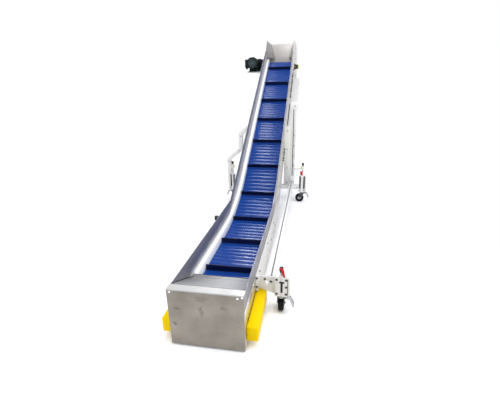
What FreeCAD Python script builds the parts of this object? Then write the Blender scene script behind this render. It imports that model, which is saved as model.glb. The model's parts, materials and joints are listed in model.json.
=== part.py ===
"""Mobile swan-neck cleated belt conveyor.

Frame: X across the belt, Y from the infeed to the discharge, Z up.
The origin is on the floor, on the belt's centre plane, under the outer face of the front plate.
All lengths are in millimetres and all angles in degrees.
"""
import FreeCAD
import Part
import math
import os

V = FreeCAD.Vector

# Driving dimensions
SIZES = [
    # alias, value, what it is
    ("body_width", 410.8, "over the two side walls"),
    ("sheet", 3.0, "thickness of the stainless sheet"),
    ("gap", 0.3, "clearance between neighbouring pieces"),
    ("front_low", 10.0, "lower edge of the front plate and walls"),
    ("wall_top", 356.0, "top edge of the infeed walls"),
    ("lip", 48.0, "depth of the lip on the front plate"),
    ("slope_end_y", 352.0, "rear edge of the infeed slope plate"),
    ("slope_end_z", 206.0, "height of that edge"),
    ("slope_flange", 30.0, "level strip behind that edge"),
    ("floor_length", 640.0, "pan under the infeed"),
    ("belt_z", 152.0, "carrying surface on the level run"),
    ("side_room", 33.4, "from the belt's edge to the wall's outer face"),
    ("belt_thick", 9.0, "belt modules"),
    ("neck_y", 1073.0, "start of the bend"),
    ("neck_radius", 1665.0, "radius of the carrying surface in the bend"),
    ("incline", 31.4, "slope of the upper run"),
    ("head_run", 2440.0, "length of the inclined run"),
    ("tail_y", 98.0, "axis of the tail roller"),
    ("tail_radius", 42.0, "outside of the belt round the tail roller"),
    ("head_radius", 71.0, "outside of the belt round the head sprockets"),
    ("flight_rows", 8.0, "belt rows from one flight to the next"),
    ("row_pitch", 50.8, "one row of belt modules"),
    ("row_groove", 2.5, "depth of the groove between two rows"),
    ("flight_first_y", 528.0, "first flight past the slope plate"),
    ("flight_high", 41.0, "height of a flight"),
    ("flight_root", 9.0, "thickness of a flight at the belt"),
    ("flight_tip", 5.0, "thickness of a flight at its tip"),
    ("wall_level", 106.0, "lower wall above the belt on the level run"),
    ("wall_rise", 200.0, "lower wall above the belt on the incline"),
    ("skirt_rise", 250.0, "upper skirt above the belt on the incline"),
    ("skirt_lap", 20.0, "overlap of the upper skirt inside the lower wall"),
    ("guide_high", 62.0, "white guide above the belt"),
    ("guide_drop", 14.0, "white guide below the belt surface"),
    ("guide_room", 2.0, "between the belt's edge and a guide"),
    ("guide_start_y", 356.0, "front end of the guides"),
    ("guide_bevel", 40.0, "slanted front corner of the guides"),
    ("guide_over", 20.0, "guides run this far past the head"),
    ("shaft_radius", 20.0, "head shaft"),
    ("tail_shaft_radius", 15.0, "tail shaft"),
    ("hood_side", 3.3, "hood plate outside the side wall"),
    ("hood_back_wide", 480.0, "back plate of the hood, across"),
    ("hood_ahead", 360.0, "hood plate in front of the head shaft"),
    ("hood_apex_ahead", 55.0, "top corner in front of the head shaft"),
    ("hood_apex_up", 376.0, "top corner above the head shaft"),
    ("hood_behind", 200.0, "rear face behind the head shaft"),
    ("hood_back_up", 348.0, "top of the back plate above the head shaft"),
    ("hood_down", 166.0, "lower edge of the hood under the head shaft"),
    ("block_width", 62.0, "yellow weight, across"),
    ("block_start_y", 32.0, "its front end"),
    ("block_length", 362.0, "its length"),
    ("block_low", 52.0, "its lower face"),
    ("block_high", 89.0, "its height"),
    ("rail_out", 70.6, "from the wall to the right base rail"),
    ("rail_wide", 44.0, "base rail, square section"),
    ("rail_top", 250.0, "top of the base rails"),
    ("rail_start_y", 367.0, "front end of the base rails"),
    ("rear_axle_y", 2429.0, "rear swivel line"),
    ("rear_plane", 30.0, "front face of the rear bracket ahead of that line"),
    ("slot_wide", 8.0, "groove of the frame profiles"),
    ("slot_deep", 4.0, "its depth"),
    ("arm_y", 358.0, "front face of the front arm"),
    ("arm_thick", 8.0, "front arm plate"),
    ("mast_wide", 55.0, "mast, across"),
    ("mast_deep", 45.0, "mast, along"),
    ("mast_top", 1160.0, "top of the mast"),
    ("leg_wide", 45.0, "bent leg, square section"),
    ("panel_low", 212.0, "lower edge of the panel beside the mast"),
    ("panel_high", 900.0, "its upper edge"),
    ("side_rail_wide", 90.0, "rail along the incline, across"),
    ("side_rail_deep", 45.0, "rail along the incline, thickness"),
    ("side_rail_low", 140.0, "its lower face under the carrying surface"),
    ("side_rail_start", 700.0, "its lower end, along the incline"),
    ("side_rail_stop", 290.0, "its upper end, before the head"),
    ("wheel_radius", 50.0, "caster wheel"),
    ("wheel_wide", 34.0, "caster wheel"),
    ("axle_radius", 6.0, "caster axle"),
    ("trail", 28.0, "caster offset"),
    ("fork_plate", 3.0, "caster fork sheet"),
    ("caster_top", 126.0, "underside of the pieces that hold the casters"),
    ("foot_thick", 8.0, "plate over a caster"),
    ("post_radius", 9.0, "clamping post over a caster"),
    ("knob_radius", 14.0, "its knob"),
    ("motor_out", 176.3, "motor axis outside the hood"),
    ("motor_up", 45.0, "motor axis above the head shaft"),
    ("motor_ahead", 370.0, "face of the fan cowl before the head shaft"),
    ("motor_radius", 82.0, "fan cowl"),
    ("cowl_length", 70.0, "fan cowl"),
    ("motor_length", 175.0, "finned body"),
    ("fin_count", 24.0, "fins round the motor"),
    ("fin_deep", 9.0, "depth of the fins"),
    ("case_ahead", 95.0, "gearbox before the head shaft"),
    ("case_length", 190.0, "gearbox, along"),
    ("case_out", 109.3, "axis of the gear drum outside the hood"),
    ("case_up", 33.5, "that axis above the head shaft"),
    ("case_radius", 85.0, "gear drum"),
    ("case_down", 34.0, "mounting block under the head shaft"),
    ("case_high", 145.0, "mounting block, height"),
    ("shelf_down", 70.0, "top of the motor shelf under the head shaft"),
]

doc = FreeCAD.newDocument("conveyor")
sheet = doc.addObject("Spreadsheet::Sheet", "Sizes")
for row, (alias, value, meaning) in enumerate(SIZES, start=1):
    sheet.set("A%d" % row, meaning)
    sheet.set("B%d" % row, str(value))
    sheet.setAlias("B%d" % row, alias)
doc.recompute()
D = {alias: float(sheet.get(alias)) for alias, value, meaning in SIZES}

# Derived places, all from the driving dimensions
HALF = D["body_width"] / 2
BELT_HALF = HALF - D["side_room"]
HOOD_HALF = HALF + D["hood_side"]
SLOPE = math.radians(D["incline"])
UP = (math.cos(SLOPE), math.sin(SLOPE))
OUT = (-math.sin(SLOPE), math.cos(SLOPE))
NECK_CENTRE = (D["neck_y"], D["belt_z"] + D["neck_radius"])
NECK_END = (
    D["neck_y"] + D["neck_radius"] * math.sin(SLOPE),
    D["belt_z"] + D["neck_radius"] * (1 - math.cos(SLOPE)),
)
HEAD_TANGENT = (
    NECK_END[0] + D["head_run"] * UP[0],
    NECK_END[1] + D["head_run"] * UP[1],
)
HEAD = (
    HEAD_TANGENT[0] - D["head_radius"] * OUT[0],
    HEAD_TANGENT[1] - D["head_radius"] * OUT[1],
)
TAIL = (D["tail_y"], D["belt_z"] - D["tail_radius"])
RETURN_RADIUS = D["neck_radius"] + 2 * D["tail_radius"]
SPAN = (HEAD[0] - NECK_CENTRE[0], HEAD[1] - NECK_CENTRE[1])
SPAN_LENGTH = math.hypot(SPAN[0], SPAN[1])
RETURN_SLOPE = math.atan2(SPAN[1], SPAN[0]) + math.asin(
    (RETURN_RADIUS - D["head_radius"]) / SPAN_LENGTH
)
INSIDE = D["sheet"] + D["gap"]
RAIL_X = HALF + D["rail_out"]
REAR_FACE = D["rear_axle_y"] - D["rear_plane"]
HOOD_START = HEAD[0] - D["hood_ahead"]
HOOD_BACK = HEAD[0] + D["hood_behind"]
MOTOR_X = -(HOOD_HALF + D["motor_out"])
MOTOR_Z = HEAD[1] + D["motor_up"]
MOTOR_FACE = HEAD[0] - D["motor_ahead"]


def up_run(along, above):
    """Point beside the inclined run: along it from the bend's end, and above its surface."""
    return (
        NECK_END[0] + along * UP[0] + above * OUT[0],
        NECK_END[1] + along * UP[1] + above * OUT[1],
    )


def neck_point(angle, above):
    """Point beside the bend at a turn angle in radians, above its surface."""
    radius = D["neck_radius"] - above
    return (
        NECK_CENTRE[0] + radius * math.sin(angle),
        NECK_CENTRE[1] - radius * math.cos(angle),
    )


def knee(level, above):
    """Corner where a level line meets the line that runs above the inclined run."""
    start = up_run(0.0, above)
    return (start[0] - (start[1] - level) / math.tan(SLOPE), level)


def over_incline(y, above):
    """Point at a Y place on the line that runs above the inclined run."""
    start = up_run(0.0, above)
    return (y, start[1] + (y - start[0]) * math.tan(SLOPE))


def vertex(point):
    return V(point[0], point[1], 0)


def segments(points):
    """Sketch edges of a closed outline.

    A corner is a pair. A triple (a, b, 'via') is the middle point of an arc between its neighbours.
    The first point is a corner.
    """
    edges = []
    count = len(points)
    place = 0
    while place < count:
        here = points[place]
        following = points[(place + 1) % count]
        if len(following) == 3:
            end = points[(place + 2) % count]
            edges.append(Part.Arc(vertex(here), vertex(following), vertex(end)))
            place += 2
        else:
            edges.append(Part.LineSegment(vertex(here), vertex(following)))
            place += 1
    return edges


def origin_plane(body, role):
    for feature in body.Origin.OriginFeatures:
        if feature.Role == role:
            return feature
    raise RuntimeError("no plane " + role)


def plate(label, plane, outlines, thick, offset):
    """A body padded from closed outlines, starting at an offset along the plane's normal.

    YZ_Plane draws (Y, Z) and grows to +X. XZ_Plane draws (X, Z) and grows to -Y from -offset.
    XY_Plane draws (X, Y) and grows to +Z.
    """
    body = doc.addObject("PartDesign::Body", label)
    body.Label = label
    sketch = body.newObject("Sketcher::SketchObject", label + "_outline")
    sketch.AttachmentSupport = [(origin_plane(body, plane), "")]
    sketch.MapMode = "FlatFace"
    sketch.AttachmentOffset = FreeCAD.Placement(V(0, 0, 0), FreeCAD.Rotation())
    for outline in outlines:
        sketch.addGeometry(segments(outline), False)
    pad = body.newObject("PartDesign::Pad", label + "_pad")
    pad.Profile = sketch
    pad.setExpression("Length", E(thick))
    sketch.setExpression("AttachmentOffset.Base.z", E(offset))
    sketch.Visibility = False
    return body


def E(text):
    """A sheet expression: <alias> becomes the sheet's cell, and a number stays a number."""
    if not isinstance(text, str):
        return "%.5f" % text
    return text.replace("<", "Sizes.").replace(">", "")


def block(label, corner, lengths):
    """A box whose corner and lengths are numbers or expressions in the sheet."""
    box = doc.addObject("Part::Box", label)
    box.Label = label
    for name, text in zip(("Length", "Width", "Height"), lengths):
        box.setExpression(name, E(text))
    for name, text in zip("xyz", corner):
        box.setExpression("Placement.Base." + name, E(text))
    return box


def rod(label, centre, axis, radius, length):
    """A cylinder from its base centre along a direction."""
    cylinder = doc.addObject("Part::Cylinder", label)
    cylinder.Label = label
    cylinder.Placement = FreeCAD.Placement(V(0, 0, 0), FreeCAD.Rotation(V(0, 0, 1), V(*axis)))
    cylinder.setExpression("Radius", E(radius))
    cylinder.setExpression("Height", E(length))
    for name, text in zip("xyz", centre):
        cylinder.setExpression("Placement.Base." + name, E(text))
    return cylinder


def fuse(label, pieces):
    joined = doc.addObject("Part::MultiFuse", label)
    joined.Label = label
    joined.Shapes = pieces
    joined.Refine = True
    return joined


def cut(label, base, tool):
    result = doc.addObject("Part::Cut", label)
    result.Label = label
    result.Base = base
    result.Tool = tool
    return result


def mirror(label, source):
    """The same piece on the other side of the centre plane."""
    copy = doc.addObject("Part::Mirroring", label)
    copy.Label = label
    copy.Source = source
    copy.Base = V(0, 0, 0)
    copy.Normal = V(1, 0, 0)
    return copy


NODES = []


def node(piece):
    NODES.append(piece)
    return piece


def pair(piece):
    """Keeps a right-hand piece and its left-hand mirror image."""
    node(piece)
    node(mirror(piece.Label.replace("_right", "_left"), piece))


def profile(across, along, low, high):
    """Outline of a profile with one groove in the middle of each side."""
    slot = D["slot_wide"] / 2
    deep = D["slot_deep"]
    a = (low + high) / 2
    b = (across + along) / 2
    return [
        (across, low),
        (b - slot, low),
        (b - slot, low + deep),
        (b + slot, low + deep),
        (b + slot, low),
        (along, low),
        (along, a - slot),
        (along - deep, a - slot),
        (along - deep, a + slot),
        (along, a + slot),
        (along, high),
        (b + slot, high),
        (b + slot, high - deep),
        (b - slot, high - deep),
        (b - slot, high),
        (across, high),
        (across, a + slot),
        (across + deep, a + slot),
        (across + deep, a - slot),
        (across, a - slot),
    ]


# Infeed box
def infeed():
    top = D["wall_top"]
    inner = top - D["sheet"]
    outline = [
        (0, D["front_low"]),
        (D["sheet"], D["front_low"]),
        (D["sheet"], inner),
        (D["lip"], inner),
        (D["lip"], top),
        (0, top),
    ]
    node(plate("front_plate", "YZ_Plane", [outline], "<body_width>", "-<body_width> / 2"))
    # Slope plate between the skirts, square at its front end, with a level strip behind
    end = (D["slope_end_y"], D["slope_end_z"])
    fall = math.atan2(top - end[1], end[0] - D["lip"])
    down = (-math.sin(fall) * D["sheet"], -math.cos(fall) * D["sheet"])
    start = (D["lip"] + D["gap"] - down[0], top)
    under = end[1] - D["sheet"]
    outline = [
        start,
        end,
        (end[0] + D["slope_flange"], end[1]),
        (end[0] + D["slope_flange"], under),
        (end[0] - D["sheet"] * math.tan(fall / 2), under),
        (start[0] + down[0], start[1] + down[1]),
    ]
    wide = "(<body_width> - 4 * <sheet> - 4 * <gap>)"
    node(plate("infeed_slope_plate", "YZ_Plane", [outline], wide, "-" + wide + " / 2"))
    wide = "(<body_width> - 2 * <sheet> - 2 * <gap>)"
    corner = ("-" + wide + " / 2", "<sheet> + <gap>", "<front_low>")
    node(block("infeed_floor", corner, (wide, "<floor_length>", "<sheet>")))


# Side walls: a lower wall, and a skirt lapped inside its upper edge
def walls():
    drop = D["front_low"] - D["belt_z"]
    level = D["belt_z"] + D["wall_level"]
    end = D["head_run"] - D["gap"]
    wall = plate(
        "side_wall_blank",
        "YZ_Plane",
        [
            [
                (INSIDE, D["front_low"]),
                (D["neck_y"], D["front_low"]),
                neck_point(SLOPE / 2, drop) + ("via",),
                up_run(0.0, drop),
                up_run(end, drop),
                up_run(end, 0.0),
                (HEAD[0] + D["head_radius"], HEAD[1]),
                (HEAD[0] + D["head_radius"], HEAD[1] + D["wall_rise"]),
                up_run(end, D["wall_rise"]),
                knee(level, D["wall_rise"]),
                (INSIDE, level),
            ]
        ],
        "<sheet>",
        "<body_width> / 2 - <sheet>",
    )
    tail_bored = shaft_hole("side_wall_tail", wall, TAIL, "<tail_shaft_radius> + <gap>")
    pair(shaft_hole("side_wall_right", tail_bored, HEAD, "<shaft_radius> + <gap>"))
    low = level - D["skirt_lap"]
    low_rise = D["wall_rise"] - D["skirt_lap"]
    top = D["wall_top"] - INSIDE
    skirt = plate(
        "wall_skirt_right",
        "YZ_Plane",
        [
            [
                (INSIDE, low),
                knee(low, low_rise),
                up_run(end, low_rise),
                up_run(end, D["skirt_rise"]),
                knee(top, D["skirt_rise"]),
                (INSIDE, top),
            ]
        ],
        "<sheet>",
        "<body_width> / 2 - 2 * <sheet> - <gap>",
    )
    pair(skirt)


def guides():
    """White guides that cover the edges of the belt, in the gap between belt and wall."""
    high = D["guide_high"]
    low = -D["guide_drop"]
    bevel = D["guide_bevel"]
    stop = D["head_run"] + D["guide_over"]
    outline = [
        (D["guide_start_y"], D["belt_z"] + low),
        (D["neck_y"], D["belt_z"] + low),
        neck_point(SLOPE / 2, low) + ("via",),
        up_run(0.0, low),
        up_run(stop, low),
        up_run(stop, high),
        up_run(0.0, high),
        neck_point(SLOPE / 2, high) + ("via",),
        (D["neck_y"], D["belt_z"] + high),
        (D["guide_start_y"] + bevel, D["belt_z"] + high),
        (D["guide_start_y"], D["belt_z"] + high - bevel),
    ]
    thick = "<side_room> - <guide_room> - <sheet> - <gap>"
    start = "<body_width> / 2 - <side_room> + <guide_room>"
    pair(plate("belt_guide_right", "YZ_Plane", [outline], thick, start))


# Belt
def belt_runs():
    """The outer surface of the loop, from the tail's top: (kind, length, data)."""
    half_turn = math.pi / 2
    tail_r = D["tail_radius"]
    head_r = D["head_radius"]
    back = RETURN_SLOPE
    back_normal = (math.sin(back), -math.cos(back))
    head_low = (HEAD[0] + head_r * back_normal[0], HEAD[1] + head_r * back_normal[1])
    neck_low = (
        NECK_CENTRE[0] + RETURN_RADIUS * back_normal[0],
        NECK_CENTRE[1] + RETURN_RADIUS * back_normal[1],
    )
    return_run = math.hypot(head_low[0] - neck_low[0], head_low[1] - neck_low[1])
    # line: start, heading. arc: centre, radius, first angle, turning way, outward way
    return [
        ("line", D["neck_y"] - TAIL[0], ((TAIL[0], D["belt_z"]), 0.0)),
        ("arc", D["neck_radius"] * SLOPE, (NECK_CENTRE, D["neck_radius"], -half_turn, 1, -1)),
        ("line", D["head_run"], (NECK_END, SLOPE)),
        ("arc", head_r * (math.pi + SLOPE - back), (HEAD, head_r, half_turn + SLOPE, -1, 1)),
        ("line", return_run, (head_low, back + math.pi)),
        ("arc", RETURN_RADIUS * back, (NECK_CENTRE, RETURN_RADIUS, back - half_turn, -1, 1)),
        ("line", D["neck_y"] - TAIL[0], ((D["neck_y"], TAIL[1] - tail_r), math.pi)),
        ("arc", tail_r * math.pi, (TAIL, tail_r, -half_turn, -1, 1)),
    ]


def belt_point(s, above):
    """Point at a length along the loop, above its outer surface."""
    runs = belt_runs()
    s = s % sum(run[1] for run in runs)
    for kind, length, data in runs:
        if s > length:
            s -= length
            continue
        if kind == "line":
            start, heading = data
            normal = (-math.sin(heading), math.cos(heading))
            point = (start[0] + s * math.cos(heading), start[1] + s * math.sin(heading))
        else:
            centre, radius, first, way, outward = data
            angle = first + way * s / radius
            toward = (math.cos(angle), math.sin(angle))
            point = (centre[0] + radius * toward[0], centre[1] + radius * toward[1])
            normal = (outward * toward[0], outward * toward[1])
        return (point[0] + above * normal[0], point[1] + above * normal[1])
    raise RuntimeError("length beyond the loop")


def belt_outline():
    """Rigid rows with a groove between them, and a flight in the middle of every eighth row."""
    total = sum(run[1] for run in belt_runs())
    rows_each = round(D["flight_rows"])
    flights = round(total / (rows_each * D["row_pitch"]))
    row_length = total / (flights * rows_each)
    first = D["flight_first_y"] - TAIL[0]
    deep = D["row_groove"]
    root = D["flight_root"] / 2
    tip = D["flight_tip"] / 2
    outline = []
    for k in range(flights * rows_each):
        middle = first + k * row_length
        joint = middle - row_length / 2
        outline.append(belt_point(joint - deep, 0.0))
        outline.append(belt_point(joint, -deep))
        outline.append(belt_point(joint + deep, 0.0))
        if k % rows_each == 0:
            foot = belt_point(middle, 0.0)
            crown = belt_point(middle, D["flight_high"])
            up = ((crown[0] - foot[0]) / D["flight_high"], (crown[1] - foot[1]) / D["flight_high"])
            side = (up[1], -up[0])
            for reach, base in ((-root, foot), (-tip, crown), (tip, crown), (root, foot)):
                outline.append((base[0] + reach * side[0], base[1] + reach * side[1]))
    return outline


def belt_inside():
    depth = -D["belt_thick"]
    outline = []
    reach = 0.0
    for kind, length, data in belt_runs():
        outline.append(belt_point(reach, depth))
        if kind != "line":
            outline.append(belt_point(reach + length / 2, depth) + ("via",))
        reach += length
    return outline


def belt():
    wide = "<body_width> - 2 * <side_room>"
    start = "-<body_width> / 2 + <side_room>"
    node(plate("belt", "YZ_Plane", [belt_outline(), belt_inside()], wide, start))


def toothed(centre, outer, inner, teeth):
    """Outline of a sprocket with square teeth, as corners round its centre."""
    outline = []
    for k in range(teeth):
        for part, radius in ((0.0, inner), (0.25, inner), (0.35, outer), (0.90, outer)):
            angle = 2 * math.pi * (k + part) / teeth
            outline.append((centre[0] + radius * math.cos(angle), centre[1] + radius * math.sin(angle)))
    return outline


SPROCKETS_X = (-144.0, -72.0, 0.0, 72.0, 144.0)
SPROCKET_WIDE = 26.0
TEETH = 8
TOOTH_DEEP = 9.0
SHAFT_RIGHT = 56.0
SHAFT_LEFT = 200.0


def shafts():
    ends = HOOD_HALF + SHAFT_LEFT
    pieces = [
        rod("head_shaft_core", (-ends, HEAD[0], HEAD[1]), (1, 0, 0), "<shaft_radius>", ends + HOOD_HALF + SHAFT_RIGHT)
    ]
    outer = D["head_radius"] - D["belt_thick"] - D["gap"]
    for index, place in enumerate(SPROCKETS_X):
        outline = toothed(HEAD, outer, outer - TOOTH_DEEP, TEETH)
        wheel = plate("sprocket_%d" % index, "YZ_Plane", [outline], SPROCKET_WIDE, place - SPROCKET_WIDE / 2)
        pieces.append(wheel)
    node(fuse("head_shaft", pieces))
    tail = rod(
        "tail_shaft_core",
        ("-<body_width> / 2", TAIL[0], TAIL[1]),
        (1, 0, 0),
        "<tail_shaft_radius>",
        "<body_width>",
    )
    drum = rod(
        "tail_drum",
        (-BELT_HALF, TAIL[0], TAIL[1]),
        (1, 0, 0),
        "<tail_radius> - <belt_thick> - <gap>",
        2 * BELT_HALF,
    )
    node(fuse("tail_roller", [tail, drum]))


BORE_REACH = 600.0


def shaft_hole(label, piece, centre, radius):
    """A bore through a plate for a shaft on the X axis."""
    tool = rod(label + "_bore", (-BORE_REACH, centre[0], centre[1]), (1, 0, 0), radius, 2 * BORE_REACH)
    return cut(label, piece, tool)


# Hood
HOOD_FOOT_AHEAD = 60.0
HOOD_ABOVE_BELT = 210.0
HOOD_UNDER_BELT = 20.0
# Corners of the slanted sheet in each rear corner: X inside the hood plate, Y and Z from the head shaft
WING = [
    ("top_front", 0.0, -52.0, 366.0),
    ("top_back", 37.0, None, 342.0),
    ("low_back", 93.0, None, 136.0),
    ("low_front", 7.0, -160.0, 130.0),
]


def facets(label, triangles, thick):
    """A folded sheet: flat triangles that share edges, all thickened along X."""
    solids = []
    for corners in triangles:
        loop = [V(*corner) for corner in corners]
        face = Part.Face(Part.makePolygon(loop + loop[:1]))
        solids.append(face.extrude(V(thick, 0, 0)))
    piece = doc.addObject("Part::Feature", label)
    piece.Label = label
    piece.Shape = solids[0].fuse(solids[1:])
    return piece


def hood():
    low = HEAD[1] - D["hood_down"]
    back = HOOD_BACK - D["sheet"] - D["gap"]
    outline = [
        over_incline(HOOD_START, HOOD_ABOVE_BELT),
        (HEAD[0] - D["hood_apex_ahead"], HEAD[1] + D["hood_apex_up"]),
        (back, HEAD[1] + D["hood_back_up"]),
        (back, low),
        (HEAD[0] - HOOD_FOOT_AHEAD, low),
        over_incline(HOOD_START, -HOOD_UNDER_BELT),
    ]
    side = plate(
        "hood_side_blank", "YZ_Plane", [outline], "<sheet>", "<body_width> / 2 + <hood_side> - <sheet>"
    )
    pair(shaft_hole("hood_side_right", side, HEAD, "<shaft_radius> + <gap>"))
    corner = ("-<hood_back_wide> / 2", HOOD_BACK - D["sheet"], low)
    lengths = ("<hood_back_wide>", "<sheet>", "<hood_back_up> + <hood_down>")
    node(block("hood_back_plate", corner, lengths))
    inner = HALF - D["gap"]
    places = {}
    for name, inward, y, z in WING:
        reach = back - HEAD[0] if y is None else y
        places[name] = (inner - inward, HEAD[0] + reach, HEAD[1] + z)
    upper = [places["top_front"], places["top_back"], places["low_back"]]
    lower = [places["top_front"], places["low_back"], places["low_front"]]
    pair(facets("hood_wing_right", [upper, lower], -D["sheet"]))


# Weights beside the infeed
def weights():
    corner = ("<body_width> / 2 + <gap>", "<block_start_y>", "<block_low>")
    pair(block("weight_block_right", corner, ("<block_width>", "<block_length>", "<block_high>")))


# Base frame
# Inner and outer edge of the rear foot plates, outside the wall
REAR_FOOT = (179.6, 251.6)
BEAM_X = HALF + REAR_FOOT[0] - D["gap"]
BEAM_LONG = 60.0
ARM_TOP = 248.0
ARM_POINT = (RAIL_X + D["rail_wide"], 130.0)
ARM_KNEE = (HALF + 66.6, 146.0)
ARM_WALL_Z = 168.0
CLAMP_PLACE = (966.0, 326.0)
CLAMP_SIZE = (26.0, 30.0, 34.0)


def base_frame():
    low = D["rail_top"] - D["rail_wide"]
    outline = profile(RAIL_X, RAIL_X + D["rail_wide"], low, D["rail_top"])
    length = REAR_FACE - D["rail_start_y"]
    node(plate("base_rail_right", "XZ_Plane", [outline], length, -REAR_FACE))
    # The left rail lies against the wall and rests on the cross beam
    outer = HALF + D["gap"]
    outline = profile(-outer - D["rail_wide"], -outer, low, D["rail_top"])
    end = D["rear_axle_y"] + D["rear_plane"]
    node(plate("base_rail_left", "XZ_Plane", [outline], end - D["rail_start_y"], -end))
    # Front arm: a plate with a cut-out from the wall, over the weight, to the caster bracket
    face = D["arm_y"] + D["arm_thick"]
    arm = [
        [(outer, ARM_TOP), (ARM_POINT[0], ARM_TOP), ARM_POINT, ARM_KNEE, (outer, ARM_WALL_Z)],
        [(outer + 54.0, ARM_TOP - 30.0), (outer + 94.0, ARM_TOP - 30.0), (outer + 62.0, ARM_TOP - 62.0)],
    ]
    node(plate("front_arm_right", "XZ_Plane", arm, "<arm_thick>", -face))
    beam_low = low - D["gap"] - D["rail_wide"]
    corner = (-BEAM_X, REAR_FACE + D["gap"], beam_low)
    node(block("rear_crossbeam", corner, (2 * BEAM_X, BEAM_LONG, "<rail_wide>")))
    skirt_face = HALF - D["sheet"]
    corner = (-skirt_face - CLAMP_SIZE[0], CLAMP_PLACE[0], CLAMP_PLACE[1])
    node(block("wall_clamp", corner, CLAMP_SIZE))


# Supports at the rear
# Centre line of the bent leg from the caster to the wall: X outside the wall, Z
LEG_LINE = [(256.0, 202.0), (256.0, 505.0), (106.6, 628.0), (106.6, 803.0), (0.3, 893.0)]
PANEL_THICK = 5.0
# Collar round the top of the mast: room round it, low edge and top edge under the mast's top
COLLAR = (8.0, 75.0, 10.0)
# Arms that hold the rear posts: half width, low face, thickness, room beyond the post
POST_ARM = (20.0, 398.0, 14.0, 20.0)


def shifted(before, after, reach):
    """A line's start and heading, moved sideways."""
    long = math.hypot(after[0] - before[0], after[1] - before[1])
    way = ((after[0] - before[0]) / long, (after[1] - before[1]) / long)
    return (before[0] - way[1] * reach, before[1] + way[0] * reach), way


def crossing(first, second):
    (p, u), (q, w) = first, second
    cross = u[0] * w[1] - u[1] * w[0]
    t = ((q[0] - p[0]) * w[1] - (q[1] - p[1]) * w[0]) / cross
    return (p[0] + t * u[0], p[1] + t * u[1])


def bent_outline(line, wide):
    """A bar along a bent line, with a level cut at its start and an upright cut at its end."""
    sides = []
    for reach in (wide / 2, -wide / 2):
        runs = [shifted(a, b, reach) for a, b in zip(line, line[1:])]
        corners = [crossing((line[0], (1.0, 0.0)), runs[0])]
        corners += [crossing(a, b) for a, b in zip(runs, runs[1:])]
        corners.append(crossing(runs[-1], (line[-1], (0.0, 1.0))))
        sides.append(corners)
    return sides[0] + sides[1][::-1]


def rear_supports():
    low = D["rail_top"] - D["rail_wide"]
    start = REAR_FACE + D["gap"]
    outline = profile(RAIL_X, RAIL_X + D["mast_wide"], start, start + D["mast_deep"])
    mast = plate("mast_profile", "XY_Plane", [outline], D["mast_top"] - low, low)
    room, collar_low, collar_top = COLLAR
    corner = (RAIL_X - room, start - room, D["mast_top"] - collar_low)
    lengths = (D["mast_wide"] + 2 * room, D["mast_deep"] + 2 * room, collar_low - collar_top)
    node(fuse("mast_right", [mast, block("mast_collar", corner, lengths)]))
    line = [(-(HALF + out), z) for out, z in LEG_LINE]
    leg_start = start + D["foot_thick"] + 2 * D["gap"] + 4.0
    outline = bent_outline(line, D["leg_wide"])
    node(plate("bent_leg_left", "XZ_Plane", [outline], "<leg_wide>", -(leg_start + D["leg_wide"])))
    # Each rear post passes through an arm on the mast or on the leg
    mast_side = RAIL_X + D["mast_wide"] + D["gap"]
    leg_side = LEG_LINE[0][0] + HALF - D["leg_wide"] / 2 - D["gap"]
    half_wide, arm_low, thick, beyond = POST_ARM
    for name, side, out, y in [row[:4] for row in CASTERS if row[0].startswith("rear")]:
        place = HALF + out
        near, far = (mast_side, place + beyond) if side > 0 else (place - beyond, leg_side)
        x = near if side > 0 else -far
        arm = block("arm_" + name, (x, y - half_wide, arm_low), (far - near, 2 * half_wide, thick))
        post = rod("arm_bore_" + name, (side * place, y, arm_low), (0, 0, 1), "<post_radius> + <gap>", thick)
        node(cut("post_arm_" + name.split("_")[1], arm, post))
    corner = ("<body_width> / 2 + <gap>", start, "<panel_low>")
    lengths = ("<rail_out> - 2 * <gap>", PANEL_THICK, "<panel_high> - <panel_low>")
    node(block("mast_panel_right", corner, lengths))
    # Rails that lie flat along the incline
    under = -D["side_rail_low"]
    over = under + D["side_rail_deep"]
    stop = D["head_run"] - D["side_rail_stop"]
    outline = [
        up_run(D["side_rail_start"], under),
        up_run(stop, under),
        up_run(stop, over),
        up_run(D["side_rail_start"], over),
    ]
    pair(plate("side_rail_right", "YZ_Plane", [outline], "<side_rail_wide>", "<body_width> / 2 + <gap>"))


# Drive
NECK_RADIUS = 80.0
BOX_WIDE = 38.0
BOX_LONG = 110.0
BOX_HIGH = 116.0
BOX_BACK = 20.0
# Foot of the motor: half width, overlap with the motor, room at each end of the finned body
FOOT = (68.0, 20.0, 6.0)
SHELF_WIDE = 83.0
SHELF_THICK = 6.0
SHELF_BACK = 30.0
SHELF_LONG = 230.0


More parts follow.
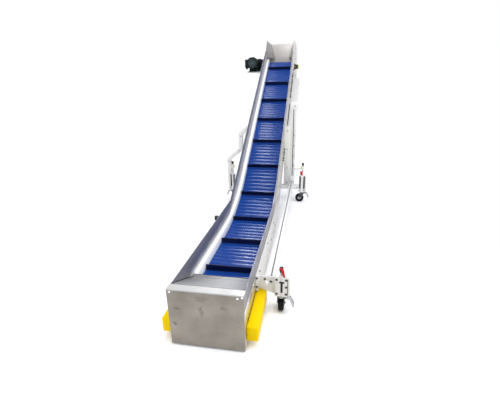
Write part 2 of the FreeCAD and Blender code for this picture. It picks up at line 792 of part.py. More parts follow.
def drive():
    left = HOOD_HALF + D["gap"]
    case_y = MOTOR_FACE + D["cowl_length"] + D["motor_length"]
    case_start = HEAD[0] - D["case_ahead"]
    drum_x = -(HOOD_HALF + D["case_out"])
    case = block(
        "gearbox_case",
        (drum_x, case_start, HEAD[1] - D["case_down"]),
        (-left - drum_x, "<case_length>", "<case_high>"),
    )
    drum_place = (drum_x, case_start, HEAD[1] + D["case_up"])
    drum = rod("gearbox_drum", drum_place, (0, 1, 0), "<case_radius>", "<case_length>")
    neck_long = case_start + D["gap"] - case_y
    neck = rod("gearbox_neck", (MOTOR_X, case_y, MOTOR_Z), (0, 1, 0), NECK_RADIUS, neck_long)
    body = fuse("gearbox_body", [case, drum, neck])
    node(shaft_hole("gearbox", body, HEAD, "<shaft_radius> + <gap> / 2"))
    cowl = rod("motor_cowl", (MOTOR_X, MOTOR_FACE, MOTOR_Z), (0, 1, 0), "<motor_radius>", "<cowl_length>")
    fins = toothed(
        (MOTOR_X, MOTOR_Z),
        D["motor_radius"] - D["gap"],
        D["motor_radius"] - D["fin_deep"],
        round(D["fin_count"]),
    )
    fin_body = plate("motor_fins", "XZ_Plane", [fins], "<motor_length> - <gap>", -(case_y - D["gap"]))
    shelf_top = HEAD[1] - D["shelf_down"]
    foot_half, lap, room = FOOT
    foot_top = MOTOR_Z - D["motor_radius"] + lap
    corner = (MOTOR_X - foot_half, MOTOR_FACE + D["cowl_length"] + room, shelf_top + D["gap"])
    lengths = (2 * foot_half, D["motor_length"] - 2 * room, foot_top - shelf_top - D["gap"])
    node(fuse("motor", [cowl, fin_body, block("motor_foot", corner, lengths)]))
    box_x = MOTOR_X - D["motor_radius"] - BOX_WIDE
    corner = (box_x, MOTOR_FACE + D["cowl_length"] + BOX_BACK, MOTOR_Z - BOX_HIGH / 2)
    node(block("terminal_box", corner, (BOX_WIDE - D["gap"], BOX_LONG, BOX_HIGH)))
    shelf_x = MOTOR_X - SHELF_WIDE
    lengths = (-left - shelf_x, SHELF_LONG, SHELF_THICK)
    node(block("motor_shelf", (shelf_x, MOTOR_FACE + SHELF_BACK, shelf_top - SHELF_THICK), lengths))


FLANGE = (46.0, 12.0)
HUB = (32.0, 57.0)
CAP = (27.0, 16.0)


def bearings():
    """Flange bearing and end cap on the right of the head shaft."""
    side = HOOD_HALF + D["gap"]
    flange = rod("bearing_flange", (side, HEAD[0], HEAD[1]), (1, 0, 0), FLANGE[0], FLANGE[1])
    hub = rod("bearing_hub", (side, HEAD[0], HEAD[1]), (1, 0, 0), HUB[0], HUB[1])
    body = fuse("bearing_body", [flange, hub])
    node(shaft_hole("head_bearing", body, HEAD, "<shaft_radius> + <gap> / 2"))
    cap_x = side + HUB[1] + D["gap"]
    node(rod("bearing_cap", (cap_x, HEAD[0], HEAD[1]), (1, 0, 0), CAP[0], CAP[1]))


# Casters. Places are outside the wall's outer face.
# foot: inner and outer edge of the foot plate. face: front of the upright plate before the axis.
# way: turns the trailing direction from +Y. pedal: the pedal's direction from +X on the unturned fork.
CASTERS = [
    # name, side, out, y, foot, face, plate_top, post_top, grooves, hook, way, pedal
    ("front_right", 1, 153.6, 360.0, (114.9, 192.3), 23.0, 260.0, 318.0, 1, 252.0, 0.0, 0.0),
    ("front_left", -1, 91.6, 490.0, (0.3, 127.6), 30.0, 180.0, 204.0, 0, 0.0, 0.0, 180.0),
    ("rear_right", 1, 219.6, 2429.0, REAR_FOOT, 30.0, 332.0, 478.0, 2, 332.0, 90.0, -90.0),
    ("rear_left", -1, 214.6, 2429.0, REAR_FOOT, 30.0, 332.0, 478.0, 2, 0.0, 0.0, 180.0),
]
PLATE_THICK = 12.0
FOOT_BACK = 30.0
HOOK_RADIUS = 10.0
HOOK_LOW = 134.0
KNOB_HIGH = 26.0
CROWN = (26.0, 10.0)
LEG_HALF = 24.0
FORK_ROOM = 2.0
PIN_OUT = 6.0
HUB_RING = (24.0, 3.0)
# Brake pedal beside the swivel: distance from its axis, height
PEDAL = [(20.0, 118.0), (58.0, 114.0), (80.0, 66.0), (80.0, 52.0), (72.0, 52.0), (52.0, 104.0), (20.0, 106.0)]
PEDAL_WIDE = 26.0


def turned(label, piece, centre, angle):
    """A piece turned about an upright axis by its own placement."""
    piece.Label = label
    spin = FreeCAD.Rotation(V(0, 0, 1), angle)
    piece.Placement = FreeCAD.Placement(V(0, 0, 0), spin, V(centre[0], centre[1], 0))
    return piece


def caster_bracket(name, x, y, inner, outer, side, face, plate_top, post_top, grooves, hook):
    foot_z = D["caster_top"]
    left = min(inner, outer)
    wide = abs(outer - inner)
    foot = block("foot_" + name, (left, y - face, foot_z), (wide, face + FOOT_BACK, "<foot_thick>"))
    plate_face = y - face
    plate_left = left
    plate_wide = wide
    if name == "front_left":
        plate_left = -(HALF + D["gap"]) - PLATE_THICK
        plate_wide = PLATE_THICK
    outline = [(plate_left, plate_face)]
    for k in range(round(grooves)):
        middle = plate_left + plate_wide * (k + 0.5) / grooves
        slot = D["slot_wide"] / 2
        outline += [
            (middle - slot, plate_face),
            (middle - slot, plate_face + D["slot_deep"]),
            (middle + slot, plate_face + D["slot_deep"]),
            (middle + slot, plate_face),
        ]
    deep = PLATE_THICK
    if name == "front_left":
        deep = face + FOOT_BACK
    outline += [
        (plate_left + plate_wide, plate_face),
        (plate_left + plate_wide, plate_face + deep),
        (plate_left, plate_face + deep),
    ]
    upright = plate("upright_" + name, "XY_Plane", [outline], plate_top - foot_z, foot_z)
    pieces = [foot, upright]
    if hook:
        hook_x = outer + side * (HOOK_RADIUS - 2.0)
        pieces.append(
            rod("hook_" + name, (hook_x, plate_face + HOOK_RADIUS, HOOK_LOW), (0, 0, 1), HOOK_RADIUS, hook - HOOK_LOW)
        )
    node(fuse("caster_bracket_" + name, pieces))
    post_z = foot_z + D["foot_thick"] + D["gap"]
    post = rod("post_" + name, (x, y, post_z), (0, 0, 1), "<post_radius>", post_top - post_z)
    knob = rod("knob_" + name, (x, y, post_top - KNOB_HIGH), (0, 0, 1), "<knob_radius>", KNOB_HIGH)
    node(fuse("clamp_post_" + name, [post, knob]))


def caster_wheel(name, x, y, way, pedal_way):
    crown_z = D["caster_top"] - D["gap"] - CROWN[1]
    half_gap = D["wheel_wide"] / 2 + FORK_ROOM
    wheel_y = y + D["trail"]
    wheel_z = D["wheel_radius"]
    outer = half_gap + D["fork_plate"]
    pieces = [rod("crown_" + name, (x, y, crown_z), (0, 0, 1), CROWN[0], CROWN[1])]
    outline = [
        (y - LEG_HALF, crown_z + 4.0),
        (y - LEG_HALF, crown_z - 6.0),
        (wheel_y - 12.0, wheel_z - 6.0),
        (wheel_y, wheel_z - 13.0, "via"),
        (wheel_y + 12.0, wheel_z - 6.0),
        (y + LEG_HALF, crown_z - 6.0),
        (y + LEG_HALF, crown_z + 4.0),
    ]
    for index, start in enumerate((x - outer, x + half_gap)):
        pieces.append(plate("leg_%s_%d" % (name, index), "YZ_Plane", [outline], "<fork_plate>", start))
    pieces.append(
        block("bridge_" + name, (x - outer, y - LEG_HALF, crown_z), (2 * outer, 2 * LEG_HALF, 4.0))
    )
    pin_start = x - half_gap - PIN_OUT
    pieces.append(
        rod("pin_" + name, (pin_start, wheel_y, wheel_z), (1, 0, 0), "<axle_radius>", 2 * (half_gap + PIN_OUT))
    )
    outline = [(x + r, z) for r, z in PEDAL]
    pedal = plate("pedal_" + name, "XZ_Plane", [outline], PEDAL_WIDE, -(y + PEDAL_WIDE / 2))
    pieces.append(turned("pedal_" + name, pedal, (x, y), pedal_way))
    node(turned("caster_fork_" + name, fuse("caster_fork_" + name, pieces), (x, y), way))
    base = (x - D["wheel_wide"] / 2, wheel_y, wheel_z)
    tread = rod("tread_" + name, base, (1, 0, 0), "<wheel_radius>", "<wheel_wide>")
    wheel = tread
    for index, start in enumerate((base[0], base[0] + D["wheel_wide"] - HUB_RING[1])):
        ring = rod(
            "recess_%s_%d" % (name, index), (start, wheel_y, wheel_z), (1, 0, 0), HUB_RING[0], HUB_RING[1]
        )
        wheel = cut("dished_%s_%d" % (name, index), wheel, ring)
    bore = rod("bore_" + name, base, (1, 0, 0), "<axle_radius> + <gap> / 10", "<wheel_wide>")
    node(turned("caster_wheel_" + name, cut("caster_wheel_" + name, wheel, bore), (x, y), way))


def casters():
    for name, side, out, y, foot, face, plate_top, post_top, grooves, hook, way, pedal in CASTERS:
        x = side * (HALF + out)
        inner = side * (HALF + foot[0])
        outer = side * (HALF + foot[1])
        caster_bracket(name, x, y, inner, outer, side, face, plate_top, post_top, grooves, hook)
        caster_wheel(name, x, y, way, pedal)


infeed()
walls()
guides()
belt()
shafts()
hood()
weights()
base_frame()
rear_supports()
drive()
bearings()
casters()
doc.recompute()

broken = [thing.Name for thing in doc.Objects if {"Invalid", "Error"} & set(thing.State)]
if broken:
    raise RuntimeError("failed objects: " + ", ".join(broken))
for piece in NODES:
    if piece.Shape.isNull() or not piece.Shape.isValid():
        raise RuntimeError("bad shape: " + piece.Label)
    if len(piece.Shape.Solids) < 1:
        raise RuntimeError("no solid: " + piece.Label)

os.makedirs("parts", exist_ok=True)
for piece in NODES:
    piece.Shape.exportStep(os.path.join("parts", piece.Label + ".step"))
    box = piece.Shape.BoundBox
    print(
        "%-28s solids %d volume %9.0f  X %7.1f %7.1f  Y %7.1f %7.1f  Z %7.1f %7.1f"
        % (
            piece.Label,
            len(piece.Shape.Solids),
            piece.Shape.Volume,
            box.XMin,
            box.XMax,
            box.YMin,
            box.YMax,
            box.ZMin,
            box.ZMax,
        )
    )
print("nodes", len(NODES))
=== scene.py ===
"""Looks of the mobile swan-neck conveyor, round the solids of its frame. Lengths are in millimetres."""
import json
import math

import bmesh
import bpy
from mathutils import Matrix, Vector

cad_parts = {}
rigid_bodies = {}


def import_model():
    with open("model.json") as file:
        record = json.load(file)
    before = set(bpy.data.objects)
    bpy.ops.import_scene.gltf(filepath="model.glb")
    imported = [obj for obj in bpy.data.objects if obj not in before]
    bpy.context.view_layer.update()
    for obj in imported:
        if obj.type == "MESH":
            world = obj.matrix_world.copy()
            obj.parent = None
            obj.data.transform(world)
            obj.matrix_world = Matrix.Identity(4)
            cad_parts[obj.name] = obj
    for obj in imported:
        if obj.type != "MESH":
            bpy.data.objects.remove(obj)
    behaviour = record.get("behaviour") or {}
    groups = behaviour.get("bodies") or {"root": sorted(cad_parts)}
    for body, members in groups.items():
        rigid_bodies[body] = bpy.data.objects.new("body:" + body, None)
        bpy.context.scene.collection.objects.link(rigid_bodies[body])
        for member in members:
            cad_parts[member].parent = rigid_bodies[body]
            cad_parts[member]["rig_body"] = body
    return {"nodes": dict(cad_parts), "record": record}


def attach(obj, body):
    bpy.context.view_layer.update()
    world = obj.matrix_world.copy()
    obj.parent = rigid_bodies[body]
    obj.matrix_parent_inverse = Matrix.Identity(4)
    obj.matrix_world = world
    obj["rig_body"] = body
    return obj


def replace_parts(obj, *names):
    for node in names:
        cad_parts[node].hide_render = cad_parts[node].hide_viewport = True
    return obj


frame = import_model()
NODES = frame["nodes"]
BODY_OF = {n: o["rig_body"] for n, o in NODES.items()}
SLOT_OF = {p["node"]: p["material_slot"] for p in frame["record"]["subparts"]}
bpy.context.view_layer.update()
MM = 0.001
TURN = 2 * math.pi
SCENE = bpy.context.scene
SCENE.view_settings.view_transform = "Standard"

# Places shared with the part: X to the right, Y toward the discharge end, Z up
HALF = 205.4
BELT_Z = 152.0
BELT_HALF = 172.0
BELT_THICK = 9.0
NECK_Y = 1073.0
NECK_RADIUS = 1665.0
SLOPE = math.radians(31.4)
HEAD_RUN = 2440.0
TAIL = (98.0, 110.0)
TAIL_RADIUS = 42.0
HEAD_RADIUS = 71.0
ROWS_EACH = 8
ROW_PITCH = 50.8
FIRST_FLIGHT_Y = 528.0
UP = (math.cos(SLOPE), math.sin(SLOPE))
OUT = (-math.sin(SLOPE), math.cos(SLOPE))
NECK_CENTRE = (NECK_Y, BELT_Z + NECK_RADIUS)
NECK_END = (
    NECK_Y + NECK_RADIUS * math.sin(SLOPE),
    BELT_Z + NECK_RADIUS * (1 - math.cos(SLOPE)),
)


def up_run(along, above):
    """Y and Z of a point on the incline, measured from the end of the bend and out of the belt."""
    return (
        NECK_END[0] + along * UP[0] + above * OUT[0],
        NECK_END[1] + along * UP[1] + above * OUT[1],
    )


HEAD = up_run(HEAD_RUN, -HEAD_RADIUS)


# Materials
def add_node(tree, kind, inputs, **values):
    """A shader node with its settings; each input takes a value or another node's output."""
    item = tree.nodes.new(kind)
    for name, value in values.items():
        setattr(item, name, value)
    for name, value in inputs.items():
        if isinstance(value, bpy.types.NodeSocket):
            tree.links.new(value, item.inputs[name])
        else:
            item.inputs[name].default_value = value
    return item


def spread(tree, source, low, high, to_low, to_high):
    """An output whose span from low to high is laid over another span."""
    item = add_node(
        tree,
        "ShaderNodeMapRange",
        {"Value": source, "From Min": low, "From Max": high, "To Min": to_low, "To Max": to_high},
    )
    return item.outputs["Result"]


def noise(tree, place, scale, detail):
    item = add_node(tree, "ShaderNodeTexNoise", {"Vector": place, "Scale": scale, "Detail": detail})
    return item.outputs["Fac"]


def finish(
    name,
    color,
    second,
    rough,
    metal=0.0,
    grain=(40.0, 40.0, 40.0),
    grain_bump=0.05,
    grain_tint=0.15,
    patch=6.0,
    patch_mix=0.5,
    rough_span=0.10,
    specular=0.5,
):
    """A procedural finish: broad patches, directional grain in colour and bump, uneven gloss."""
    mat = bpy.data.materials.new(name)
    mat.use_nodes = True
    tree = mat.node_tree
    where = add_node(tree, "ShaderNodeTexCoord", {}).outputs["Object"]
    broad = noise(tree, where, patch, 5.0)
    stretch = add_node(tree, "ShaderNodeMapping", {"Vector": where, "Scale": grain})
    fine = noise(tree, stretch.outputs["Vector"], 10.0, 4.0)
    tint = add_node(
        tree,
        "ShaderNodeMix",
        {
            "A": color + (1.0,),
            "B": second + (1.0,),
            "Factor": spread(tree, broad, 0.32, 0.68, 0.0, patch_mix),
        },
        data_type="RGBA",
    )
    lines = spread(tree, fine, 0.3, 0.7, 1.0 - grain_tint, 1.0 + grain_tint * 0.4)
    shade = add_node(
        tree,
        "ShaderNodeVectorMath",
        {"Vector": tint.outputs["Result"], "Scale": lines},
        operation="SCALE",
    )
    low, high = max(0.02, rough - rough_span), min(1.0, rough + rough_span)
    gloss = spread(tree, broad, 0.3, 0.7, low, high)
    bump = add_node(tree, "ShaderNodeBump", {"Strength": grain_bump, "Distance": 0.001, "Height": fine})
    shader = tree.nodes["Principled BSDF"].inputs
    shader["Metallic"].default_value = metal
    shader["Specular IOR Level"].default_value = specular
    tree.links.new(shade.outputs["Vector"], shader["Base Color"])
    tree.links.new(gloss, shader["Roughness"])
    tree.links.new(bump.outputs["Normal"], shader["Normal"])
    return mat


# Finishes: name, colour, second colour, roughness, metallic, grain scale, grain bump, grain tint, extras
FINISHES = [
    ("stainless", (0.50, 0.50, 0.51), (0.40, 0.40, 0.42), 0.50, 0.75, (3.0, 3.0, 90.0), 0.10, 0.16, {}),
    ("wall_left", (0.60, 0.59, 0.565), (0.51, 0.50, 0.485), 0.56, 0.45, (3.0, 3.0, 90.0), 0.08, 0.12, {}),
    ("wall_right", (0.62, 0.61, 0.585), (0.54, 0.53, 0.51), 0.30, 0.85, (3.0, 3.0, 90.0), 0.05, 0.10,
        {"rough_span": 0.05}),
    ("front_sheet", (0.335, 0.307, 0.265), (0.218, 0.196, 0.168), 0.50, 0.80, (2.0, 8.0, 110.0), 0.14, 0.14,
        {"patch": 6.0, "patch_mix": 0.75}),
    # The skirts' grey carries a blue cast in its colour: a painted reflection of the blue belt.
    ("skirt_sheet", (0.335, 0.335, 0.380), (0.255, 0.255, 0.295), 0.44, 0.75, (3.0, 3.0, 90.0), 0.10, 0.16,
        {}),
    ("bright_sheet", (0.40, 0.40, 0.405), (0.30, 0.30, 0.31), 0.40, 0.70, (4.0, 60.0, 60.0), 0.08, 0.12,
        {}),
    ("lip_sheet", (0.46, 0.46, 0.455), (0.40, 0.40, 0.395), 0.45, 0.30, (4.0, 60.0, 60.0), 0.06, 0.06, {}),
    # The hood is one sheet steel in three tones: the back darker than the sides and the wings darker still,
    # painted shade on the faces away from the light.
    ("hood_sheet", (0.70, 0.68, 0.655), (0.61, 0.59, 0.57), 0.50, 0.20, (3.0, 3.0, 80.0), 0.10, 0.12, {}),
    ("hood_back_sheet", (0.55, 0.53, 0.505), (0.47, 0.455, 0.435), 0.50, 0.50, (3.0, 3.0, 80.0), 0.10, 0.12,
        {}),
    ("wing_sheet", (0.42, 0.41, 0.395), (0.35, 0.34, 0.33), 0.50, 0.50, (3.0, 3.0, 80.0), 0.10, 0.12, {}),
    ("scuff", (0.090, 0.078, 0.070), (0.15, 0.13, 0.12), 0.60, 0.20, (30.0, 30.0, 30.0), 0.05, 0.20, {}),
    ("smudge", (0.265, 0.240, 0.205), (0.215, 0.195, 0.168), 0.55, 0.75, (2.0, 8.0, 110.0), 0.10, 0.14, {}),
    ("guide_white", (0.93, 0.94, 0.96), (0.88, 0.89, 0.92), 0.60, 0.0, (8.0, 8.0, 8.0), 0.03, 0.03,
        {"specular": 0.25}),
    ("belt_blue", (0.005, 0.047, 0.262), (0.004, 0.037, 0.215), 0.165, 0.0, (30.0, 30.0, 30.0), 0.010, 0.08,
        {"patch": 14.0, "patch_mix": 0.6, "specular": 0.13, "rough_span": 0.05}),
    ("hinge_blue", (0.007, 0.040, 0.230), (0.006, 0.032, 0.190), 0.45, 0.0, (30.0, 30.0, 30.0), 0.05, 0.10,
        {"specular": 0.12}),
    # The flights are the belt's own plastic; this near-black copy of the belt's blue is painted shade on
    # their faces.
    ("flight_blue", (0.0025, 0.006, 0.040), (0.002, 0.005, 0.030), 0.38, 0.0, (30.0, 30.0, 30.0), 0.05, 0.10,
        {"specular": 0.12}),
    ("shaft_steel", (0.50, 0.50, 0.50), (0.38, 0.38, 0.38), 0.32, 1.0, (90.0, 4.0, 4.0), 0.10, 0.12, {}),
    ("safety_yellow", (0.80, 0.55, 0.0005), (0.73, 0.49, 0.0005), 0.50, 0.0, (60.0, 60.0, 60.0), 0.06, 0.05,
        {"specular": 0.05}),
    ("frame_white", (0.70, 0.70, 0.69), (0.62, 0.62, 0.61), 0.45, 0.0, (50.0, 50.0, 50.0), 0.05, 0.05,
        {"specular": 0.3}),
    ("panel_grey", (0.66, 0.66, 0.63), (0.57, 0.57, 0.55), 0.50, 0.0, (50.0, 50.0, 50.0), 0.05, 0.06,
        {"specular": 0.25}),
    ("motor_green", (0.005, 0.014, 0.017), (0.003, 0.009, 0.011), 0.46, 0.0, (70.0, 70.0, 70.0), 0.12, 0.15,
        {"specular": 0.10}),
    # The grille is the motor's green made much lighter: a painted highlight on its rings.
    ("grille_green", (0.060, 0.100, 0.104), (0.042, 0.074, 0.078), 0.40, 0.0, (70.0, 70.0, 70.0), 0.08, 0.10,
        {"specular": 0.25}),
    ("bearing_black", (0.012, 0.012, 0.012), (0.022, 0.022, 0.022), 0.42, 0.0, (60.0, 60.0, 60.0), 0.08, 0.10,
        {"specular": 0.3}),
    ("cap_yellow", (0.66, 0.70, 0.12), (0.58, 0.62, 0.10), 0.38, 0.0, (40.0, 40.0, 40.0), 0.03, 0.05,
        {"specular": 0.3}),
    ("black_plastic", (0.012, 0.012, 0.012), (0.022, 0.022, 0.022), 0.50, 0.0, (90.0, 90.0, 90.0), 0.12, 0.15,
        {"specular": 0.3}),
    ("red_plastic", (0.50, 0.006, 0.008), (0.38, 0.005, 0.006), 0.42, 0.0, (60.0, 60.0, 60.0), 0.04, 0.06,
        {"specular": 0.3}),
    ("cream_plastic", (0.68, 0.64, 0.50), (0.60, 0.56, 0.43), 0.48, 0.0, (60.0, 60.0, 60.0), 0.04, 0.06,
        {}),
    ("zinc_dark", (0.075, 0.075, 0.080), (0.045, 0.045, 0.050), 0.42, 0.6, (30.0, 30.0, 30.0), 0.08, 0.12,
        {"patch": 30.0}),
    ("shelf_grey", (0.19, 0.19, 0.19), (0.14, 0.14, 0.14), 0.50, 0.2, (50.0, 50.0, 50.0), 0.05, 0.06, {}),
    ("zinc", (0.50, 0.50, 0.52), (0.36, 0.37, 0.39), 0.36, 1.0, (30.0, 30.0, 30.0), 0.08, 0.12,
        {"patch": 30.0}),
    ("wheel_black", (0.006, 0.006, 0.006), (0.014, 0.013, 0.012), 0.55, 0.0, (60.0, 60.0, 60.0), 0.12, 0.20,
        {"patch": 20.0, "specular": 0.12}),
    # Near-black for painted shade in slots, grooves and along edges, and for small dark fixings.
    ("groove_dark", (0.022, 0.022, 0.022), (0.014, 0.014, 0.014), 0.60, 0.0, (60.0, 60.0, 60.0), 0.05, 0.10,
        {"specular": 0.2}),
    # Dark grey for painted shade in the rails' grooves and along the slope plate's fold.
    ("groove_grey", (0.13, 0.13, 0.125), (0.09, 0.09, 0.088), 0.60, 0.0, (60.0, 60.0, 60.0), 0.05, 0.10,
        {"specular": 0.2}),
]
MATS = {row[0]: finish(*row[:8], **row[8]) for row in FINISHES}

for name, obj in NODES.items():
    obj.data.materials.clear()
    obj.data.materials.append(MATS[SLOT_OF[name]])


# Mesh helpers
def smooth(mesh):
    for face in mesh.polygons:
        face.use_smooth = True
    mesh.set_sharp_from_angle(angle=math.radians(35.0))


def piece(name, verts, faces, mat, body, bevel, segments):
    """A mesh piece from corner points in millimetres that rides on a body."""
    mesh = bpy.data.meshes.new(name)
    mesh.from_pydata([tuple(c * MM for c in v) for v in verts], [], faces)
    obj = bpy.data.objects.new(name, mesh)
    SCENE.collection.objects.link(obj)
    bm = bmesh.new()
    bm.from_mesh(mesh)
    bmesh.ops.recalc_face_normals(bm, faces=bm.faces)
    bm.to_mesh(mesh)
    bm.free()
    mesh.materials.append(MATS[mat])
    if bevel:
        rounded(obj, bevel, segments)
    smooth(obj.data)
    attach(obj, body)
    return obj


def rounded(obj, width, segments=2):
    """Applies a bevel to the sharp edges of a piece."""
    mod = obj.modifiers.new("edge", "BEVEL")
    mod.width = width * MM
    mod.segments = segments
    mod.limit_method = "ANGLE"
    mod.angle_limit = math.radians(28.0)
    mod.use_clamp_overlap = True
    bpy.context.view_layer.update()
    seen = obj.evaluated_get(bpy.context.evaluated_depsgraph_get())
    made = bpy.data.meshes.new_from_object(seen)
    obj.modifiers.clear()
    made.name = obj.name
    obj.data = made


def dress(name, width, mat):
    """The CAD piece's own form with rounded edges, in place of the plain node."""
    source = NODES[name]
    mesh = source.data.copy()
    bm = bmesh.new()
    bm.from_mesh(mesh)
    bmesh.ops.remove_doubles(bm, verts=bm.verts, dist=1e-6)
    bmesh.ops.dissolve_limit(bm, angle_limit=math.radians(0.5), verts=bm.verts, edges=bm.edges)
    bm.to_mesh(mesh)
    bm.free()
    mesh.materials.clear()
    mesh.materials.append(MATS[mat])
    obj = bpy.data.objects.new(name + "_finished", mesh)
    SCENE.collection.objects.link(obj)
    rounded(obj, width)
    smooth(obj.data)
    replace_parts(obj, name)
    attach(obj, BODY_OF[name])
    return obj


def basis(axis):
    """Two directions across an axis, and the axis at unit length."""
    w = Vector(axis).normalized()
    hint = Vector((1.0, 0.0, 0.0)) if abs(w.z) > 0.95 else Vector((0.0, 0.0, 1.0))
    u = hint.cross(w).normalized()
    return u, w.cross(u), w


def turned(centre, axis, profile, steps):
    """A ring of points round an axis for each (radius, distance along it) pair."""
    u, v, w = basis(axis)
    centre = Vector(centre)
    rings = []
    for radius, along in profile:
        points = []
        for k in range(steps):
            t = TURN * k / steps
            points.append(centre + w * along + (u * math.cos(t) + v * math.sin(t)) * radius)
        rings.append(points)
    return rings


class Build:
    """Collects many small forms into one mesh."""

    def __init__(self):
        self.verts = []
        self.faces = []

    def loops(self, rings, caps=True):
        """Closed rings of points, joined one after the other, with a face at each end."""
        base = len(self.verts)
        count = len(rings[0])
        for ring_points in rings:
            self.verts.extend(tuple(v) for v in ring_points)
        for r in range(len(rings) - 1):
            for k in range(count):
                a = base + r * count + k
                b = base + r * count + (k + 1) % count
                self.faces.append((a, b, b + count, a + count))
        if caps:
            self.faces.append(tuple(range(base + count - 1, base - 1, -1)))
            top = base + (len(rings) - 1) * count
            self.faces.append(tuple(range(top, top + count)))

    def lathe(self, centre, axis, profile, steps=24):
        """profile: (radius, distance along the axis) pairs."""
        self.loops(turned(centre, axis, profile, steps))

    def box(self, low, high):
        (a, b, c), (d, e, f) = low, high
        self.loops(
            [
                [(a, b, c), (d, b, c), (d, e, c), (a, e, c)],
                [(a, b, f), (d, b, f), (d, e, f), (a, e, f)],
            ]
        )

    def bar(self, start, end, side, outline):
        """An outline of (across, up) pairs swept from start to end."""
        start = Vector(start)
        end = Vector(end)
        w = (end - start).normalized()
        u = Vector(side).normalized()
        v = w.cross(u)
        rings = [[p + u * a + v * b for a, b in outline] for p in (start, end)]
        self.loops(rings)

    def hexagon(self, centre, axis, across, high):
        profile = [
            (across * 0.55, 0),
            (across * 0.577, high * 0.15),
            (across * 0.577, high * 0.8),
            (across * 0.5, high),
        ]
        self.lathe(centre, axis, profile, 6)

    def button(self, centre, axis, radius, high):
        """A round screw head with a recess."""
        profile = [
            (radius, 0),
            (radius, high * 0.3),
            (radius * 0.85, high * 0.75),
            (radius * 0.5, high),
            (radius * 0.3, high),
            (radius * 0.28, high * 0.5),
        ]
        self.lathe(centre, axis, profile, 12)

    def make(self, name, mat, body="frame", bevel=0.0, segments=2):
        return piece(name, self.verts, self.faces, mat, body, bevel, segments)


# Camera, at the photograph's place: focal length and shift in pixels of a picture 500 wide,
# angles in radians, place in metres
PICTURE_WIDE = 500.0
FOCAL = 320.236
SHIFT = (-3.274, -9.515)
SENSOR = 36.0
EYE = (0.4897, -1.2962, 1.3274)
YAW = 0.176
PITCH = 0.34
ROLL = -0.015
forward = Vector((-math.sin(YAW) * math.cos(PITCH), math.cos(YAW) * math.cos(PITCH), -math.sin(PITCH)))
level_right = Vector((math.cos(YAW), math.sin(YAW), 0.0))
level_up = level_right.cross(forward)
rolled_right = level_right * math.cos(ROLL) + level_up * math.sin(ROLL)
rolled_up = level_up * math.cos(ROLL) - level_right * math.sin(ROLL)
camera = bpy.data.cameras.new("camera")
camera.sensor_width = SENSOR
camera.sensor_fit = "HORIZONTAL"
camera.lens = SENSOR * FOCAL / PICTURE_WIDE
camera.shift_x = SHIFT[0] / PICTURE_WIDE
camera.shift_y = SHIFT[1] / PICTURE_WIDE
camera.clip_end = 200.0
eye = bpy.data.objects.new("camera", camera)
SCENE.collection.objects.link(eye)
turned_to = Matrix((rolled_right, rolled_up, -forward)).transposed().to_4x4()
eye.matrix_world = Matrix.Translation(EYE) @ turned_to
SCENE.camera = eye

# Floor, world and lights
WHITE = (1.0, 1.0, 1.0, 1.0)
FLOOR_REACH = 60
FLOOR_DROP = 0.0005


def floor_material():
    """A pale floor under the object that fades to the white background further out."""
    mat = bpy.data.materials.new("floor")
    mat.use_nodes = True
    tree = mat.node_tree
    tree.nodes.clear()
    near = add_node(tree, "ShaderNodeBsdfDiffuse", {"Color": (0.93, 0.93, 0.93, 1.0)})
    far = add_node(tree, "ShaderNodeEmission", {"Color": WHITE})
    where = add_node(tree, "ShaderNodeTexCoord", {}).outputs["Object"]
    shift = add_node(
        tree,
        "ShaderNodeMapping",
        {"Vector": where, "Location": (0.0, -0.85, 0.0), "Scale": (1.0, 0.45, 1.0)},
    )
    reach = add_node(tree, "ShaderNodeVectorMath", {0: shift.outputs["Vector"]}, operation="LENGTH")
    fade = spread(tree, reach.outputs["Value"], 0.9, 2.2, 0.0, 1.0)
    mix = add_node(
        tree,
        "ShaderNodeMixShader",
        {"Fac": fade, 1: near.outputs["BSDF"], 2: far.outputs["Emission"]},
    )
    add_node(tree, "ShaderNodeOutputMaterial", {"Surface": mix.outputs["Shader"]})
    return mat


mesh = bpy.data.meshes.new("floor")
corners = [(x * FLOOR_REACH, y * FLOOR_REACH, 0) for x, y in ((-1, -1), (1, -1), (1, 1), (-1, 1))]
mesh.from_pydata(corners, [], [(0, 1, 2, 3)])
mesh.materials.append(floor_material())
floor = bpy.data.objects.new("floor", mesh)
floor.location.z = -FLOOR_DROP
SCENE.collection.objects.link(floor)

world = bpy.data.worlds.new("studio")
world.use_nodes = True
SCENE.world = world
tree = world.node_tree
tree.nodes.clear()
rays = add_node(tree, "ShaderNodeLightPath", {}).outputs
seen = add_node(
    tree,
    "ShaderNodeMath",
    {0: rays["Is Camera Ray"], 1: rays["Is Transmission Ray"]},
    operation="MAXIMUM",
)
lit = add_node(tree, "ShaderNodeBackground", {"Color": (0.94, 0.95, 1.0, 1.0), "Strength": 0.74})
plain = add_node(tree, "ShaderNodeBackground", {"Color": WHITE, "Strength": 1.0})
mix = add_node(
    tree,
    "ShaderNodeMixShader",
    {"Fac": seen.outputs["Value"], 1: lit.outputs["Background"], 2: plain.outputs["Background"]},
)
add_node(tree, "ShaderNodeOutputWorld", {"Surface": mix.outputs["Shader"]})

